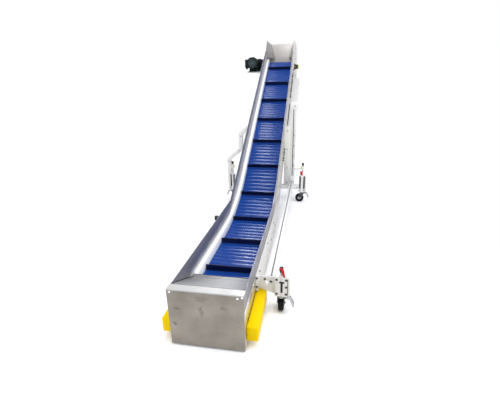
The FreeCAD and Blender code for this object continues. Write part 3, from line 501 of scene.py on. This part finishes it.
# Lamps: name, place and aim in metres, sizes, power
LAMPS = [
    ("lamp_above", (1.1, -0.7, 4.6), (0.1, 1.3, 0.3), (3.2, 3.2), 116.0),
    ("lamp_strip", (-0.52, 3.3, 4.6), (-0.52, 3.0, 0.0), (0.22, 1.4), 26.0),
    ("lamp_left", (-3.6, -1.4, 3.0), (0.0, 1.2, 0.5), (2.4, 2.4), 64.0),
    ("lamp_right", (3.3, 0.9, 3.7), (0.0, 1.9, 0.6), (2.4, 2.4), 88.0),
    ("lamp_bend", (-0.75, 4.6, 4.0), (0.0, 1.5, 0.25), (0.6, 1.0), 26.0),
    ("lamp_level", (-1.05, 6.9, 3.9), (0.0, 0.7, 0.15), (0.7, 1.3), 80.0),
]
for name, place, aim, sizes, power in LAMPS:
    lamp = bpy.data.lights.new(name, "AREA")
    lamp.shape = "RECTANGLE"
    lamp.size, lamp.size_y = sizes
    lamp.energy = power
    holder = bpy.data.objects.new(name, lamp)
    holder.location = place
    heading = Vector(aim) - Vector(place)
    holder.rotation_euler = heading.to_track_quat("-Z", "Y").to_euler()
    SCENE.collection.objects.link(holder)


# Belt of hinged rows
RETURN_RADIUS = NECK_RADIUS + 2 * TAIL_RADIUS
span = (HEAD[0] - NECK_CENTRE[0], HEAD[1] - NECK_CENTRE[1])
BACK = math.atan2(span[1], span[0]) + math.asin((RETURN_RADIUS - HEAD_RADIUS) / math.hypot(*span))
back_normal = (math.sin(BACK), -math.cos(BACK))
head_low = (HEAD[0] + HEAD_RADIUS * back_normal[0], HEAD[1] + HEAD_RADIUS * back_normal[1])
neck_low = (
    NECK_CENTRE[0] + RETURN_RADIUS * back_normal[0],
    NECK_CENTRE[1] + RETURN_RADIUS * back_normal[1],
)
QUARTER = math.pi / 2
RUNS = [
    ("line", NECK_Y - TAIL[0], ((TAIL[0], BELT_Z), 0.0)),
    ("arc", NECK_RADIUS * SLOPE, (NECK_CENTRE, NECK_RADIUS, -QUARTER, 1, -1)),
    ("line", HEAD_RUN, (NECK_END, SLOPE)),
    ("arc", HEAD_RADIUS * (math.pi + SLOPE - BACK), (HEAD, HEAD_RADIUS, QUARTER + SLOPE, -1, 1)),
    ("line", math.dist(head_low, neck_low), (head_low, BACK + math.pi)),
    ("arc", RETURN_RADIUS * BACK, (NECK_CENTRE, RETURN_RADIUS, BACK - QUARTER, -1, 1)),
    ("line", NECK_Y - TAIL[0], ((NECK_Y, TAIL[1] - TAIL_RADIUS), math.pi)),
    ("arc", TAIL_RADIUS * math.pi, (TAIL, TAIL_RADIUS, -QUARTER, -1, 1)),
]
LOOP = sum(run[1] for run in RUNS)


def belt_frame(s):
    """Point on the belt's outer surface with its outward normal."""
    s = s % LOOP
    for kind, length, data in RUNS:
        if s > length:
            s -= length
            continue
        if kind == "line":
            start, heading = data
            point = (start[0] + s * math.cos(heading), start[1] + s * math.sin(heading))
            return point, (-math.sin(heading), math.cos(heading))
        centre, radius, first, way, outward = data
        angle = first + way * s / radius
        toward = (math.cos(angle), math.sin(angle))
        point = (centre[0] + radius * toward[0], centre[1] + radius * toward[1])
        return point, (outward * toward[0], outward * toward[1])
    raise ValueError("length beyond the loop")


FLIGHTS = round(LOOP / (ROWS_EACH * ROW_PITCH))
ROW = LOOP / (FLIGHTS * ROWS_EACH)
FIRST = FIRST_FLIGHT_Y - TAIL[0]
# Section of a row between its hinges: share of the half row, height. The top is slightly crowned.
ROW_SECTION = [
    (-0.80, -1.6),
    (-0.70, -0.35),
    (0.0, 0.0),
    (0.70, -0.35),
    (0.80, -1.6),
    (0.80, -7.6),
    (-0.80, -7.6),
]
# Section of a knuckle round a hinge: reach, height
KNUCKLE = [(-5.6, -2.4), (-3.0, -0.5), (3.0, -0.5), (5.6, -2.4), (5.6, -6.6), (-5.6, -6.6)]
FINGERS = 27
FINGER_GAP = 1.4
# Section of a flight: reach from its middle, height
FLIGHT = [
    (-9.0, -0.2),
    (-5.0, 1.6),
    (-4.2, 4.0),
    (-2.6, 38.5),
    (-1.6, 40.7),
    (1.6, 40.7),
    (2.6, 38.5),
    (4.2, 4.0),
    (5.0, 1.6),
    (9.0, -0.2),
]
# Section of a rib behind a flight: reach, height
RIB = [(3.0, 0.0), (13.0, 0.0), (4.0, 26.0), (3.0, 30.0)]
RIBS = 7
RIB_INSET = 20.0
RIB_HALF = 1.5
ROW_INSET = 0.4
FLIGHT_INSET = 3.0


def belt_pieces():
    rows = Build()
    knuckles = Build()
    flights = Build()
    finger = 2 * BELT_HALF / FINGERS
    for k in range(FLIGHTS * ROWS_EACH):
        middle = FIRST + k * ROW
        a, na = belt_frame(middle - ROW / 2)
        b, nb = belt_frame(middle + ROW / 2)
        # A row is rigid: its own frame follows the chord between its two hinge points
        inner = BELT_THICK / 2
        ha = (a[0] - inner * na[0], a[1] - inner * na[1])
        hb = (b[0] - inner * nb[0], b[1] - inner * nb[1])
        long = math.dist(ha, hb)
        t = ((hb[0] - ha[0]) / long, (hb[1] - ha[1]) / long)
        n = (-t[1], t[0])
        if n[0] * na[0] + n[1] * na[1] < 0:
            n = (t[1], -t[0])
        centre = ((ha[0] + hb[0]) / 2 + inner * n[0], (ha[1] + hb[1]) / 2 + inner * n[1])

        def at(x, along, up):
            return (x, centre[0] + along * t[0] + up * n[0], centre[1] + along * t[1] + up * n[1])

        half = long / 2
        edge = BELT_HALF - ROW_INSET
        rows.loops([[at(x, u * half, v) for u, v in ROW_SECTION] for x in (-edge, edge)])
        for j in range(FINGERS):
            low = -BELT_HALF + j * finger + FINGER_GAP / 2
            high = low + finger - FINGER_GAP
            shift = half if j % 2 else -half
            knuckles.loops([[at(x, shift + u, v) for u, v in KNUCKLE] for x in (low, high)])
        if k % ROWS_EACH == 0:
            side = BELT_HALF - FLIGHT_INSET
            flights.loops([[at(x, u, v) for u, v in FLIGHT] for x in (-side, side)])
            for j in range(RIBS):
                x = -side + RIB_INSET + j * (2 * side - 2 * RIB_INSET) / (RIBS - 1)
                flights.loops([[at(x + w, u, v) for u, v in RIB] for w in (-RIB_HALF, RIB_HALF)])
    made = rows.make("belt_rows", "belt_blue")
    knuckles.make("belt_hinges", "hinge_blue")
    # Flights in the near-black copy of the belt's blue: painted shade on their faces.
    flights.make("belt_flights", "flight_blue")
    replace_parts(made, "belt")


belt_pieces()

# CAD pieces that keep their form and get rounded edges: (node, radius, material)
ROUNDED = [
    ("front_plate", 1.2, "front_sheet"),
    ("infeed_slope_plate", 0.8, "bright_sheet"),
    ("infeed_floor", 0.8, "stainless"),
    ("side_wall_right", 0.8, "wall_right"),
    ("side_wall_left", 0.8, "wall_left"),
    # The skirts' finish has a painted reflection of the blue belt in its colour.
    ("wall_skirt_right", 0.8, "skirt_sheet"),
    ("wall_skirt_left", 0.8, "skirt_sheet"),
    ("belt_guide_right", 1.2, "guide_white"),
    ("belt_guide_left", 1.2, "guide_white"),
    ("hood_side_right", 0.8, "hood_sheet"),
    ("hood_side_left", 0.8, "hood_sheet"),
    # Hood back and wings in darker copies of the hood's sheet: painted shade.
    ("hood_back_plate", 0.8, "hood_back_sheet"),
    ("hood_wing_right", 0.8, "wing_sheet"),
    ("hood_wing_left", 0.8, "wing_sheet"),
    ("weight_block_right", 7.0, "safety_yellow"),
    ("weight_block_left", 7.0, "safety_yellow"),
    ("base_rail_right", 0.9, "frame_white"),
    ("base_rail_left", 0.9, "frame_white"),
    ("front_arm_right", 1.2, "frame_white"),
    ("rear_crossbeam", 2.0, "frame_white"),
    ("wall_clamp", 3.0, "black_plastic"),
    ("mast_right", 1.0, "frame_white"),
    ("bent_leg_left", 4.0, "frame_white"),
    ("mast_panel_right", 1.0, "panel_grey"),
    ("side_rail_right", 3.0, "frame_white"),
    ("side_rail_left", 3.0, "frame_white"),
    ("post_arm_right", 2.0, "frame_white"),
    ("post_arm_left", 2.0, "frame_white"),
    ("head_shaft", 1.0, "shaft_steel"),
    ("tail_roller", 1.0, "shaft_steel"),
    ("gearbox", 6.0, "motor_green"),
    ("terminal_box", 4.0, "motor_green"),
    ("motor_shelf", 1.0, "shelf_grey"),
    ("caster_bracket_front_right", 1.6, "frame_white"),
    ("caster_bracket_front_left", 1.6, "frame_white"),
    ("caster_bracket_rear_right", 1.6, "frame_white"),
    ("caster_bracket_rear_left", 1.6, "frame_white"),
]
for name, width, mat in ROUNDED:
    dress(name, width, mat)


# Small forms
def on_run(x, along, over):
    y, z = up_run(along, over)
    return (x, y, z)


def ring(build, centre, axis, profile, steps=24):
    """A turned form whose section of (radius, distance along the axis) pairs closes on itself."""
    build.loops(turned(centre, axis, profile + profile[:1], steps), False)


def slab(build, corners, thick):
    """A flat outline of points, thickened by a vector."""
    build.loops([[Vector(c) for c in corners], [Vector(c) + Vector(thick) for c in corners]])


def incline_bar(build, low_x, high_x, first, last, low, high):
    """A straight bar beside the inclined run."""
    section = ((low_x, low), (high_x, low), (high_x, high), (low_x, high))
    build.loops([[on_run(x, along, over) for x, over in section] for along in (first, last)])


def bolt(build, place, axis, across, high):
    """A hexagon head on a washer."""
    washer = [(across * 0.86, 0), (across * 0.86, high * 0.22), (across * 0.8, high * 0.28)]
    build.lathe(place, axis, washer, 16)
    start = Vector(place) + Vector(axis) * high * 0.28
    build.hexagon(start, axis, across, high * 0.8)


BEAR_Y, BEAR_Z = HEAD
HOOD_X = 208.7
HOOD_BACK_Y = 4250.6
INCLINE_RAIL_X = 295.7
# Front faces of the rear supports and of the mast's strip, and the face of the front bracket
REAR_Y = 2399.0
MAST_STRIP_Y = 2391.3
BRACKET_Y = 337.0
# Lower X of the base rails, and the middle of the mast
RAILS_X = (276.0, -249.7)
MAST_X = 303.5
HOOD_BOLTS = [
    (3745, 1500),
    (3745, 1640),
    (3880, 1480),
    (3960, 1800),
    (4215, 1600),
    (4215, 1800),
    (4215, 1920),
]

# Bolts on the hood, walls and frame, and darker ones on the brackets: place, axis, across, height
bolts = []
for side in (1, -1):
    face = side * HOOD_X
    for y, z in HOOD_BOLTS:
        bolts.append(((face, y, z), (side, 0, 0), 10, 6))
    for z in (1885, 1735, 1600, 1490):
        bolts.append(((side * 224, HOOD_BACK_Y, z), (0, -1, 0), 10, 6))
    for k in range(6):
        bolts.append((on_run(side * INCLINE_RAIL_X, 790 + 250 * k, -117.5), (side, 0, 0), 13, 8))
    for y in (500, 900, 1300):
        bolts.append(((side * HALF, y, 190), (side, 0, 0), 10, 6))
for dy, dz in ((33, 0), (-33, 0), (0, 33), (0, -33)):
    bolts.append(((221.0, BEAR_Y + dy, BEAR_Z + dz), (1, 0, 0), 10, 7))
dark_bolts = [
    ((259, 358, 228), (0, -1, 0), 9, 5),
    ((297, 358, 214), (0, -1, 0), 9, 5),
    ((213.5, 340, 240), (0, -1, 0), 8, 5),
    ((213.5, 340, 180), (0, -1, 0), 8, 5),
]
bolts += [
    ((240, REAR_Y, 640), (0, -1, 0), 10, 6),
    ((240, REAR_Y, 420), (0, -1, 0), 10, 6),
    ((240, REAR_Y, 240), (0, -1, 0), 13, 8),
    ((240, REAR_Y, 850), (0, -1, 0), 10, 6),
]
for z in (330, 450, 560, 680, 800, 1120):
    bolts.append(((317, REAR_Y if z < 1000 else MAST_STRIP_Y, z), (0, -1, 0), 10, 6))
for z in (1100, 1130):
    bolts.append(((339, 2421, z), (1, 0, 0), 10, 6))
for out, z in ((256, 300), (256, 480), (128, 612), (106.6, 780), (22, 875)):
    bolts.append(((-(HALF + out), 2411.9, z), (0, -1, 0), 10, 6))
for x in (-370, -300, 298, 366):
    bolts.append(((x, REAR_Y + 0.3, 183.7), (0, -1, 0), 10, 6))
for x in (331, 388):
    for z in (146, 244):
        dark_bolts.append(((x + 2, BRACKET_Y, z), (0, -1, 0), 9, 4))
dark_bolts.append(((390, BRACKET_Y, 195), (0, -1, 0), 9, 4))
for x, z in ((394, 318), (394, 150), (448, 318), (448, 150)):
    dark_bolts.append(((x, REAR_Y, z), (0, -1, 0), 8, 4))
    dark_bolts.append(((-x, REAR_Y, z), (0, -1, 0), 8, 4))
for y in (475, 505):
    bolts.append(((-217.7, y, 158), (-1, 0, 0), 8, 4))
for name, mat, rows in (
    ("bolt_heads", "zinc", bolts),
    ("bracket_bolt_heads", "zinc_dark", dark_bolts),
):
    heads = Build()
    for place, axis, across, high in rows:
        bolt(heads, place, axis, across, high)
    heads.make(name, mat)

# Screws that hold the skirts to the walls, and three on the front plate
screws = Build()
for side in (1, -1):
    for k in range(12):
        screws.button(on_run(side * HALF, 40 + 205 * k, 190), (side, 0, 0), 5.5, 2.4)
    for k in range(6):
        screws.button((side * HALF, 90 + 165 * k, 248), (side, 0, 0), 5.5, 2.4)
for x, z in ((-187, 340), (172, 338), (196, 345)):
    screws.lathe((x, 0, z), (0, -1, 0), [(6.0, 0), (6.0, 0.8), (4.5, 1.8), (2.0, 2.0)], 16)
screws.make("sheet_screws", "guide_white")
# Bright cover over the front plate's lip
lip = Build()
lip.box((-205.3, 0.1, 355.9), (205.3, 47.9, 356.5))
lip.box((-205.3, -0.4, 350), (205.3, 0.2, 356.4))
lip.make("lip_cover", "lip_sheet", bevel=0.15, segments=1)
# Scuffs on the front plate: centre X and Z, radius, first and last angle, width
SCUFFS = [
    (-158, 205, 42, 55, 120, 3.4),
    (-160, 196, 46, 62, 108, 2.4),
    (-184, 112, 36, 48, 98, 6.0),
    (-188, 100, 40, 55, 85, 4.0),
    (-4, 252, 22, 100, 200, 2.6),
    (-4, 222, 16, 110, 170, 2.0),
    (60, 90, 60, 70, 100, 1.0),
    (120, 250, 30, 100, 140, 1.0),
]
scuffs = Build()
for x, z, radius, first, last, width in SCUFFS:
    rows = []
    for k in range(13):
        t = math.radians(first + (last - first) * k / 12)
        half = width * math.sin(math.pi * (k + 0.5) / 13) / 2
        section = ((-half, 0.1), (half, 0.1), (half, -0.15), (-half, -0.15))
        cos, sin = math.cos(t), math.sin(t)
        rows.append([(x + (radius + a) * cos, y, z + (radius + a) * sin) for a, y in section])
    scuffs.loops(rows)
scuffs.make("front_scuffs", "scuff")
# Darker patches on the front plate: centre X and Z, half sizes, turn
SMUDGES = [(-18, 316, 36, 15, 0.1), (-24, 236, 12, 30, 0.25), (96, 268, 20, 9, -0.2)]
smudge = Build()
for x, z, wide, high, turn_by in SMUDGES:
    outline = []
    cos, sin = math.cos(turn_by), math.sin(turn_by)
    for k in range(28):
        t = TURN * k / 28
        reach = 1 + 0.16 * math.sin(3 * t + x) + 0.10 * math.sin(5 * t + z)
        a, b = wide * reach * math.cos(t), high * reach * math.sin(t)
        outline.append((x + a * cos - b * sin, -0.12, z + a * sin + b * cos))
    slab(smudge, outline, (0, 0.2, 0))
smudge.make("front_smudges", "smudge")

# Dark lines along the slope plate's sides and ends, and along its fold: painted shade at its edges and in the
# crease
EDGE_SHADE = [(-1.5, 0.4), (1.5, 0.4), (1.0, -3.2), (-1.5, -3.2)]
edge_shade = Build()
for x in (197.8, -197.8):
    edge_shade.bar((x, 50, 355.2), (x, 352, 206.2), (1, 0, 0), EDGE_SHADE)
edge_shade.box((-199, 379.4, 205.8), (199, 382.2, 206.8))
edge_shade.box((-199, 47.9, 355.8), (199, 49.6, 356.6))
edge_shade.make("slope_edge_shade", "groove_dark")
# A grey line on the fold: painted shade in the crease.
fold = Build()
fold.box((-199, 350.8, 205.8), (199, 352.8, 206.5))
fold.make("slope_fold_shade", "groove_grey")

# Folded edges of the hood's back, flanges of the rails on the incline, and fitted strips
strips = Build()
for side in (1, -1):
    low, high = sorted((side * 208.8, side * 238.0))
    strips.box((low, HOOD_BACK_Y, 1446), (high, HOOD_BACK_Y + 6, 1948))
    low, high = sorted((side * INCLINE_RAIL_X, side * 299.0))
    incline_bar(strips, low, high, 705, 2145, -138, -131)
    incline_bar(strips, low, high, 705, 2145, -104, -97)
strips.box((205.8, 340, 150), (221, 357.6, 254))
strips.box((276.4, MAST_STRIP_Y, 262), (330.6, REAR_Y, 330))
strips.make("frame_strips", "frame_white", bevel=1.0)

# Grey strips in the base rails' grooves: painted shade in the recesses
dark = Build()
for x in RAILS_X:
    for low, high in ((246.4, 247.4), (208.6, 209.6)):
        dark.box((x + 18.4, 368, low), (x + 25.6, 2396, high))
    for inner in (2.6, 40.4):
        dark.box((x + inner, 368, 224.4), (x + inner + 1.0, 2396, 231.6))
dark.make("rail_groove_shade", "groove_grey")

# Near-black strips of painted shade in the mast's groove and the brackets' slots, a dark strip of painted
# shade on the right wall above the side rail, and small fixings on the right wall
black = Build()
black.box((MAST_X - 3.6, 2402.0, 335), (MAST_X + 3.6, 2403.0, 1080))
for x in (400, 447, -403, -439):
    black.box((x - 8.5, 2398.2, 170), (x + 8.5, REAR_Y, 318))
black.box((396.6, 336.7, 136), (399.4, 340.6, 250))
black.box((357.5, 336.2, 156), (369.5, BRACKET_Y, 224))
black.box((348, 336.2, 221), (379, BRACKET_Y, 232))
# A dark strip on the right wall's outer face above the side rail: painted shade.
incline_bar(black, 205.6, 213.0, 1010, 1440, -62, -44)
for k in range(12):
    long = (26, 14, 40)[k % 3]
    incline_bar(black, 205.5, 218.0 - 3 * (k % 2), 1500 + 62 * k, 1500 + long + 62 * k, 4, 20)
for k in range(14):
    incline_bar(black, 205.5, 216.0, 320 + 46 * k, 334 + 46 * k, -30 - 10 * (k % 2), -20)
for k in range(3):
    y = 1130 + 150 * k
    black.box((205.5, y, 96), (206.6, y + 30, 104))
black.make("slot_shade_and_fixings", "groove_dark")

# Tubes of the brackets, with the elbow of the guard tube on the front one
TUBE = 9.8
ELBOW = 22
fill = Build()
for low, high in ((126.5, 154), (230, 259.5)):
    fill.box((363.3 - 3.9, 337.2, low), (363.3 + 3.9, 340.8, high))
elbow = []
for k in range(7):
    t = math.pi / 2 * k / 6
    centre = Vector((405.7 - ELBOW + ELBOW * math.cos(t), 347, 240 + ELBOW * math.sin(t)))
    across = Vector((math.cos(t), 0, math.sin(t)))
    points = []
    for j in range(16):
        a = TURN * j / 16
        points.append(centre + across * TUBE * math.cos(a) + Vector((0, TUBE * math.sin(a), 0)))
    elbow.append(points)
elbow.append([v + Vector((-40, 0, 0)) for v in elbow[-1]])
fill.loops(elbow)
for x in (467.0, -465.0):
    fill.lathe((x, 2409, 134), (0, 0, 1), [(9.9, 0), (9.9, 190), (8, 196)], 16)
fill.make("bracket_tubes", "frame_white")

# Motor, with its fan grille, fins, foot and end shields
MOTOR_X, MOTOR_Z, MOTOR_Y = -385.0, HEAD[1] + 45.0, HEAD[0] - 370.0
AXIS = (0, 1, 0)
COWL = [(61, 7), (61, 1.5), (64, 0), (73, 0.4), (79, 4), (82, 12), (82, 66), (80, 70)]
FOOT = [
    ((-453, 3768, 1536.9), (-317, 3926, 1546)),
    ((-441, 3780, 1544), (-421, 3914, 1600)),
    ((-349, 3780, 1544), (-329, 3914, 1600)),
]
FINS = 30
FIN = [(70, -2.4), (81.6, -1.3), (81.6, 1.3), (70, 2.4)]
place = (MOTOR_X, MOTOR_Y, MOTOR_Z)
cowl = Build()
cowl.lathe(place, AXIS, COWL, 48)
cowl.lathe(place, AXIS, [(72, 69), (72, 244)], 48)
for start in (72, 226):
    shield = [(76, start), (79, start + 3), (79, start + 14), (76, start + 18)]
    cowl.lathe(place, AXIS, shield, 48)
for k in range(FINS):
    t = TURN * (k + 0.5) / FINS
    # No fins behind the terminal box and over the foot
    if math.cos(t) < -0.93 or math.sin(t) < -0.82:
        continue
    out = Vector((math.cos(t), 0, math.sin(t)))
    side = Vector((-math.sin(t), 0, math.cos(t)))
    rows = []
    for y in (MOTOR_Y + 92, MOTOR_Y + 224):
        centre = Vector((MOTOR_X, y, MOTOR_Z))
        rows.append([centre + out * r + side * w for r, w in FIN])
    cowl.loops(rows)
for low, high in FOOT:
    cowl.box(low, high)
for j in range(4):
    cowl.box((-421, 3790 + 34 * j, 1546), (-349, 3796 + 34 * j, 1580))
ring(cowl, (MOTOR_X, 3850, MOTOR_Z + 84), AXIS, [(8, -3), (13, -3), (13, 3), (8, 3)], 20)
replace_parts(cowl.make("motor_finished", "motor_green", bevel=0.8), "motor")
grille = Build()
for r in (15, 27, 39, 51):
    ring(grille, place, AXIS, [(r - 1.4, 1.0), (r + 1.4, 1.0), (r + 1.4, 3.6), (r - 1.4, 3.6)], 40)
for k in range(8):
    t = math.pi * k / 4
    out = Vector((math.cos(t), 0, math.sin(t)))
    side = Vector((-math.sin(t), 0, math.cos(t)))
    centre = Vector(place) + Vector((0, 1.4, 0))
    spoke = ((10, 1.3), (62, 1.3), (62, -1.3), (10, -1.3))
    slab(grille, [centre + out * r + side * w for r, w in spoke], (0, 2, 0))
grille.lathe(place, AXIS, [(7, 0.3), (12, 0.8), (12, 4)], 24)
# Grille rings in the lighter green: painted highlight.
grille.make("motor_grille", "grille_green")
fan = Build()
fan.lathe(place, AXIS, [(60.5, 6.2), (60.5, 6.8)], 40)
fan.make("motor_fan_shadow", "bearing_black")
kit = Build()
for k in range(3):
    t = math.pi * (0.5 + 2 * k / 3)
    start = (MOTOR_X + 82 * math.cos(t), MOTOR_Y + 55, MOTOR_Z + 82 * math.sin(t))
    kit.button(start, (math.cos(t), 0, math.sin(t)), 4, 2)
for x in (-446, -324):
    for y in (3776, 3918):
        bolt(kit, (x, y, 1546), (0, 0, 1), 7, 5)
for y in (3790, 3880):
    for z in (1603, 1700):
        kit.button((-506.6, y, z), (-1, 0, 0), 3.6, 2)
kit.make("motor_screws", "zinc")
box = Build()
box.box((-507, 3783, 1596.5), (-504, 3887, 1706.5))
for y in (3808, 3848):
    box.lathe((-487, y, 1593.5), (0, 0, -1), [(13, 0), (13, 6), (10, 7), (10, 16), (6, 19)], 12)
box.make("terminal_lid_and_glands", "motor_green", bevel=1.2)

# Gear drum covers, ribs and plugs, with the gussets of the shelf
DRUM_X, DRUM_Z = -318.0, HEAD[1] + 33.5
HUB = [(20.5, -8), (32, -8), (34, -4), (34, 26), (20.5, 26)]
gear = Build()
ring(gear, (DRUM_X, 4155, DRUM_Z), AXIS, [(40, 0), (78, 0), (76, 5), (44, 5)], 48)
gear.lathe((DRUM_X, 4155, DRUM_Z), AXIS, [(34, 0), (32, 7)], 32)
for y in (3985, 4030, 4090, 4135):
    ring(gear, (DRUM_X, y, DRUM_Z), AXIS, [(84, -4), (88, -3), (88, 3), (84, 4)], 48)
ring(gear, (-408.7 + 12, HEAD[0], HEAD[1]), (1, 0, 0), HUB, 32)
for j in range(3):
    gear.box((-300 + 28 * j, 3990, 1717), (-294 + 28 * j, 4130, 1722))
gear.make("gear_covers", "motor_green", bevel=0.8)
gear_bolts = Build()
for k in range(8):
    t = TURN * (k + 0.5) / 8
    bolt(gear_bolts, (DRUM_X + 61 * math.cos(t), 4160, DRUM_Z + 61 * math.sin(t)), AXIS, 9, 6)
for y in (3995, 4120):
    bolt(gear_bolts, (-262, y, 1572.4), (0, 0, -1), 8, 5)
for y in (3995, 4120):
    bolt(gear_bolts, (-240, y, 1717), (0, 0, 1), 8, 5)
PLUG = 2.2
out = (math.cos(PLUG), 0, math.sin(PLUG))
bolt(gear_bolts, (DRUM_X + 88 * out[0], 4060, DRUM_Z + 88 * out[2]), out, 12, 8)
gear_bolts.make("gear_bolts", "zinc")
shelf = Build()
for y in (3735, 3925):
    slab(shelf, [(-212, y, 1530.4), (-330, y, 1530.4), (-212, y, 1470)], (0, 5, 0))
shelf.make("shelf_gussets", "frame_white", bevel=0.8)

# Bearing and domed cap on the right
BEARING = [(20.4, 0), (46, 0), (46, 9), (43, 12), (34, 13), (32, 20), (32, 50), (29, 56), (20.4, 57)]
DOME = [(26, 0), (27, 1), (27, 8), (25.5, 11.5), (21, 14), (12, 15.6), (4, 16)]
bearing = Build()
ring(bearing, (209.0, BEAR_Y, BEAR_Z), (1, 0, 0), BEARING, 40)
bearing.lathe((232, BEAR_Y, BEAR_Z + 31), (0, 0, 1), [(4, 0), (4, 4), (2.5, 5), (2.5, 9)], 10)
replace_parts(bearing.make("bearing_finished", "bearing_black"), "head_bearing")
cap = Build()
cap.lathe((266.3, BEAR_Y, BEAR_Z), (1, 0, 0), DOME, 40)
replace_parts(cap.make("cap_finished", "cap_yellow"), "bearing_cap")

# Casters: name, X and Y of the swivel axis, axle along Y or not, pedal side, top of the post
TRAIL = 28.0
WHEEL_RADIUS = 50.0
CASTERS = [
    ("front_right", 359.0, 360.0, 0, 1, 318.0),
    ("front_left", -297.0, 490.0, 0, -1, 204.0),
    ("rear_right", 425.0, 2429.0, 1, 1, 478.0),
    ("rear_left", -420.0, 2429.0, 0, -1, 478.0),
]
TREAD = [
    (22.4, -12.5), (26, -14), (38, -14), (41, -16.8), (46, -16.8), (49, -13), (50, -6),
    (50, 6), (49, 13), (46, 16.8), (41, 16.8), (38, 14), (26, 14), (22.4, 12.5),
]
CORE = [
    (6.35, -16.5), (12.5, -16.5), (13.5, -13), (19.5, -10.5), (22.6, -12.8),
    (22.6, 12.8), (19.5, 10.5), (13.5, 13), (12.5, 16.5), (6.35, 16.5),
]
PAD = [(30, 119.5), (59, 117), (83.5, 67), (83.5, 51), (71, 51), (51, 102.6), (30, 104)]
CLEAT = ((0, 0), (2.6, 1.3), (4.0, -1.6), (1.4, -2.9))
SWIVEL_RACE = [(25.5, 117.5), (28, 118.5), (28, 122.5), (25.5, 123.5)]
POST_FOOT = 134.3
PITCH_OF_THREAD = 4.0
KNOB = [(9.6, -8), (10.5, -2), (13.4, 2), (14, 8), (14, 19), (12.6, 24), (8, 26)]
KNOB_STEPS = 48


def wheel(name, centre, axis):
    tread = Build()
    ring(tread, centre, axis, TREAD, 48)
    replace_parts(tread.make("tread_" + name, "wheel_black", "wheel_" + name), "caster_wheel_" + name)
    core = Build()
    ring(core, centre, axis, CORE, 32)
    core.make("wheel_hub_" + name, "zinc", "wheel_" + name)


def fork(name, x, y, side, centre, axis):
    """The fork with its axle ends and race, and the brake pedal with its cleats."""
    dress("caster_fork_" + name, 0.9, "zinc_dark")
    fittings = Build()
    for way_out in (-1, 1):
        outward = Vector(axis) * way_out
        fittings.lathe(Vector(centre) + outward * 22.0, outward, [(9.5, 0), (9.5, 1.5)], 16)
        fittings.hexagon(Vector(centre) + outward * 23.5, outward, 12, 6)
    ring(fittings, (x, y, 0), (0, 0, 1), SWIVEL_RACE, 32)
    fittings.make("fork_fittings_" + name, "zinc", "fork_" + name)
    pad = Build()
    pad.loops([[(x + side * r, y + w, z) for r, z in PAD] for w in (-15, 15)])
    for k in range(5):
        r = 62 + 4.2 * k
        z = 112.5 - 8.6 * k
        pad.loops([[(x + side * (r + a), y + w, z + b) for a, b in CLEAT] for w in (-13, 13)])
    pad.make("pedal_pad_" + name, "zinc", "fork_" + name, bevel=0.6)


def clamping_post(name, x, y, top):
    """The threaded post with its nut, and the fluted knob on it."""
    knob_low = top - 26.0
    thread = [(8.9, 0.0)]
    for k in range(int((knob_low - POST_FOOT) / PITCH_OF_THREAD)):
        at = PITCH_OF_THREAD * k
        thread += [(8.9, at + 1.0), (7.9, at + 2.2), (8.9, at + 3.4)]
    thread.append((8.9, knob_low - POST_FOOT + 2))
    post = Build()
    post.lathe((x, y, POST_FOOT), (0, 0, 1), thread, 16)
    post.lathe((x, y, POST_FOOT), (0, 0, 1), [(12, 0.1), (12, 7), (11, 8)], 6)
    post.make("post_" + name, "zinc")
    knob = Build()
    u, v, _ = basis((0, 0, 1))
    rings = []
    for radius, along in KNOB:
        grip = 0.16 if radius > 12 else 0.0
        points = []
        for k in range(KNOB_STEPS):
            t = TURN * k / KNOB_STEPS
            flute = 1 - grip * (0.5 - 0.5 * math.cos(6 * t))
            outward = u * math.cos(t) + v * math.sin(t)
            points.append(Vector((x, y, knob_low + along)) + outward * radius * flute)
        rings.append(points)
    knob.loops(rings)
    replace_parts(knob.make("knob_" + name, "black_plastic"), "clamp_post_" + name)


for name, x, y, along_y, side, top in CASTERS:
    axis = AXIS if along_y else (1, 0, 0)
    centre = (x - TRAIL, y, WHEEL_RADIUS) if along_y else (x, y + TRAIL, WHEEL_RADIUS)
    wheel(name, centre, axis)
    fork(name, x, y, side, centre, axis)
    clamping_post(name, x, y, top)

# Red levers on the right-hand posts: front face Y, then (low X, high X, Z) from foot to tip
LEVERS = [
    (336, ((374, 384, 262), (364, 380, 284), (358, 377, 304), (352, 371, 316), (350, 362, 320))),
    (2405, ((402, 424, 320), (400, 426, 342), (396, 424, 366), (390, 410, 382))),
]
LEVER_THICK = 12
red = Build()
for y, levels in LEVERS:
    back = y + LEVER_THICK
    red.loops([[(low, y, z), (high, y, z), (high, back, z), (low, back, z)] for low, high, z in levels])
red.make("post_levers", "red_plastic", bevel=2.5, segments=3)

# Cream collars on the rear posts
COLLAR = [(10, 0), (20, 0), (24, 4), (24, 18), (19, 26), (10, 27)]
cream = Build()
for x in (425, -420):
    ring(cream, (x, 2429, 412.2), (0, 0, 1), COLLAR)
cream.make("post_collars", "cream_plastic")
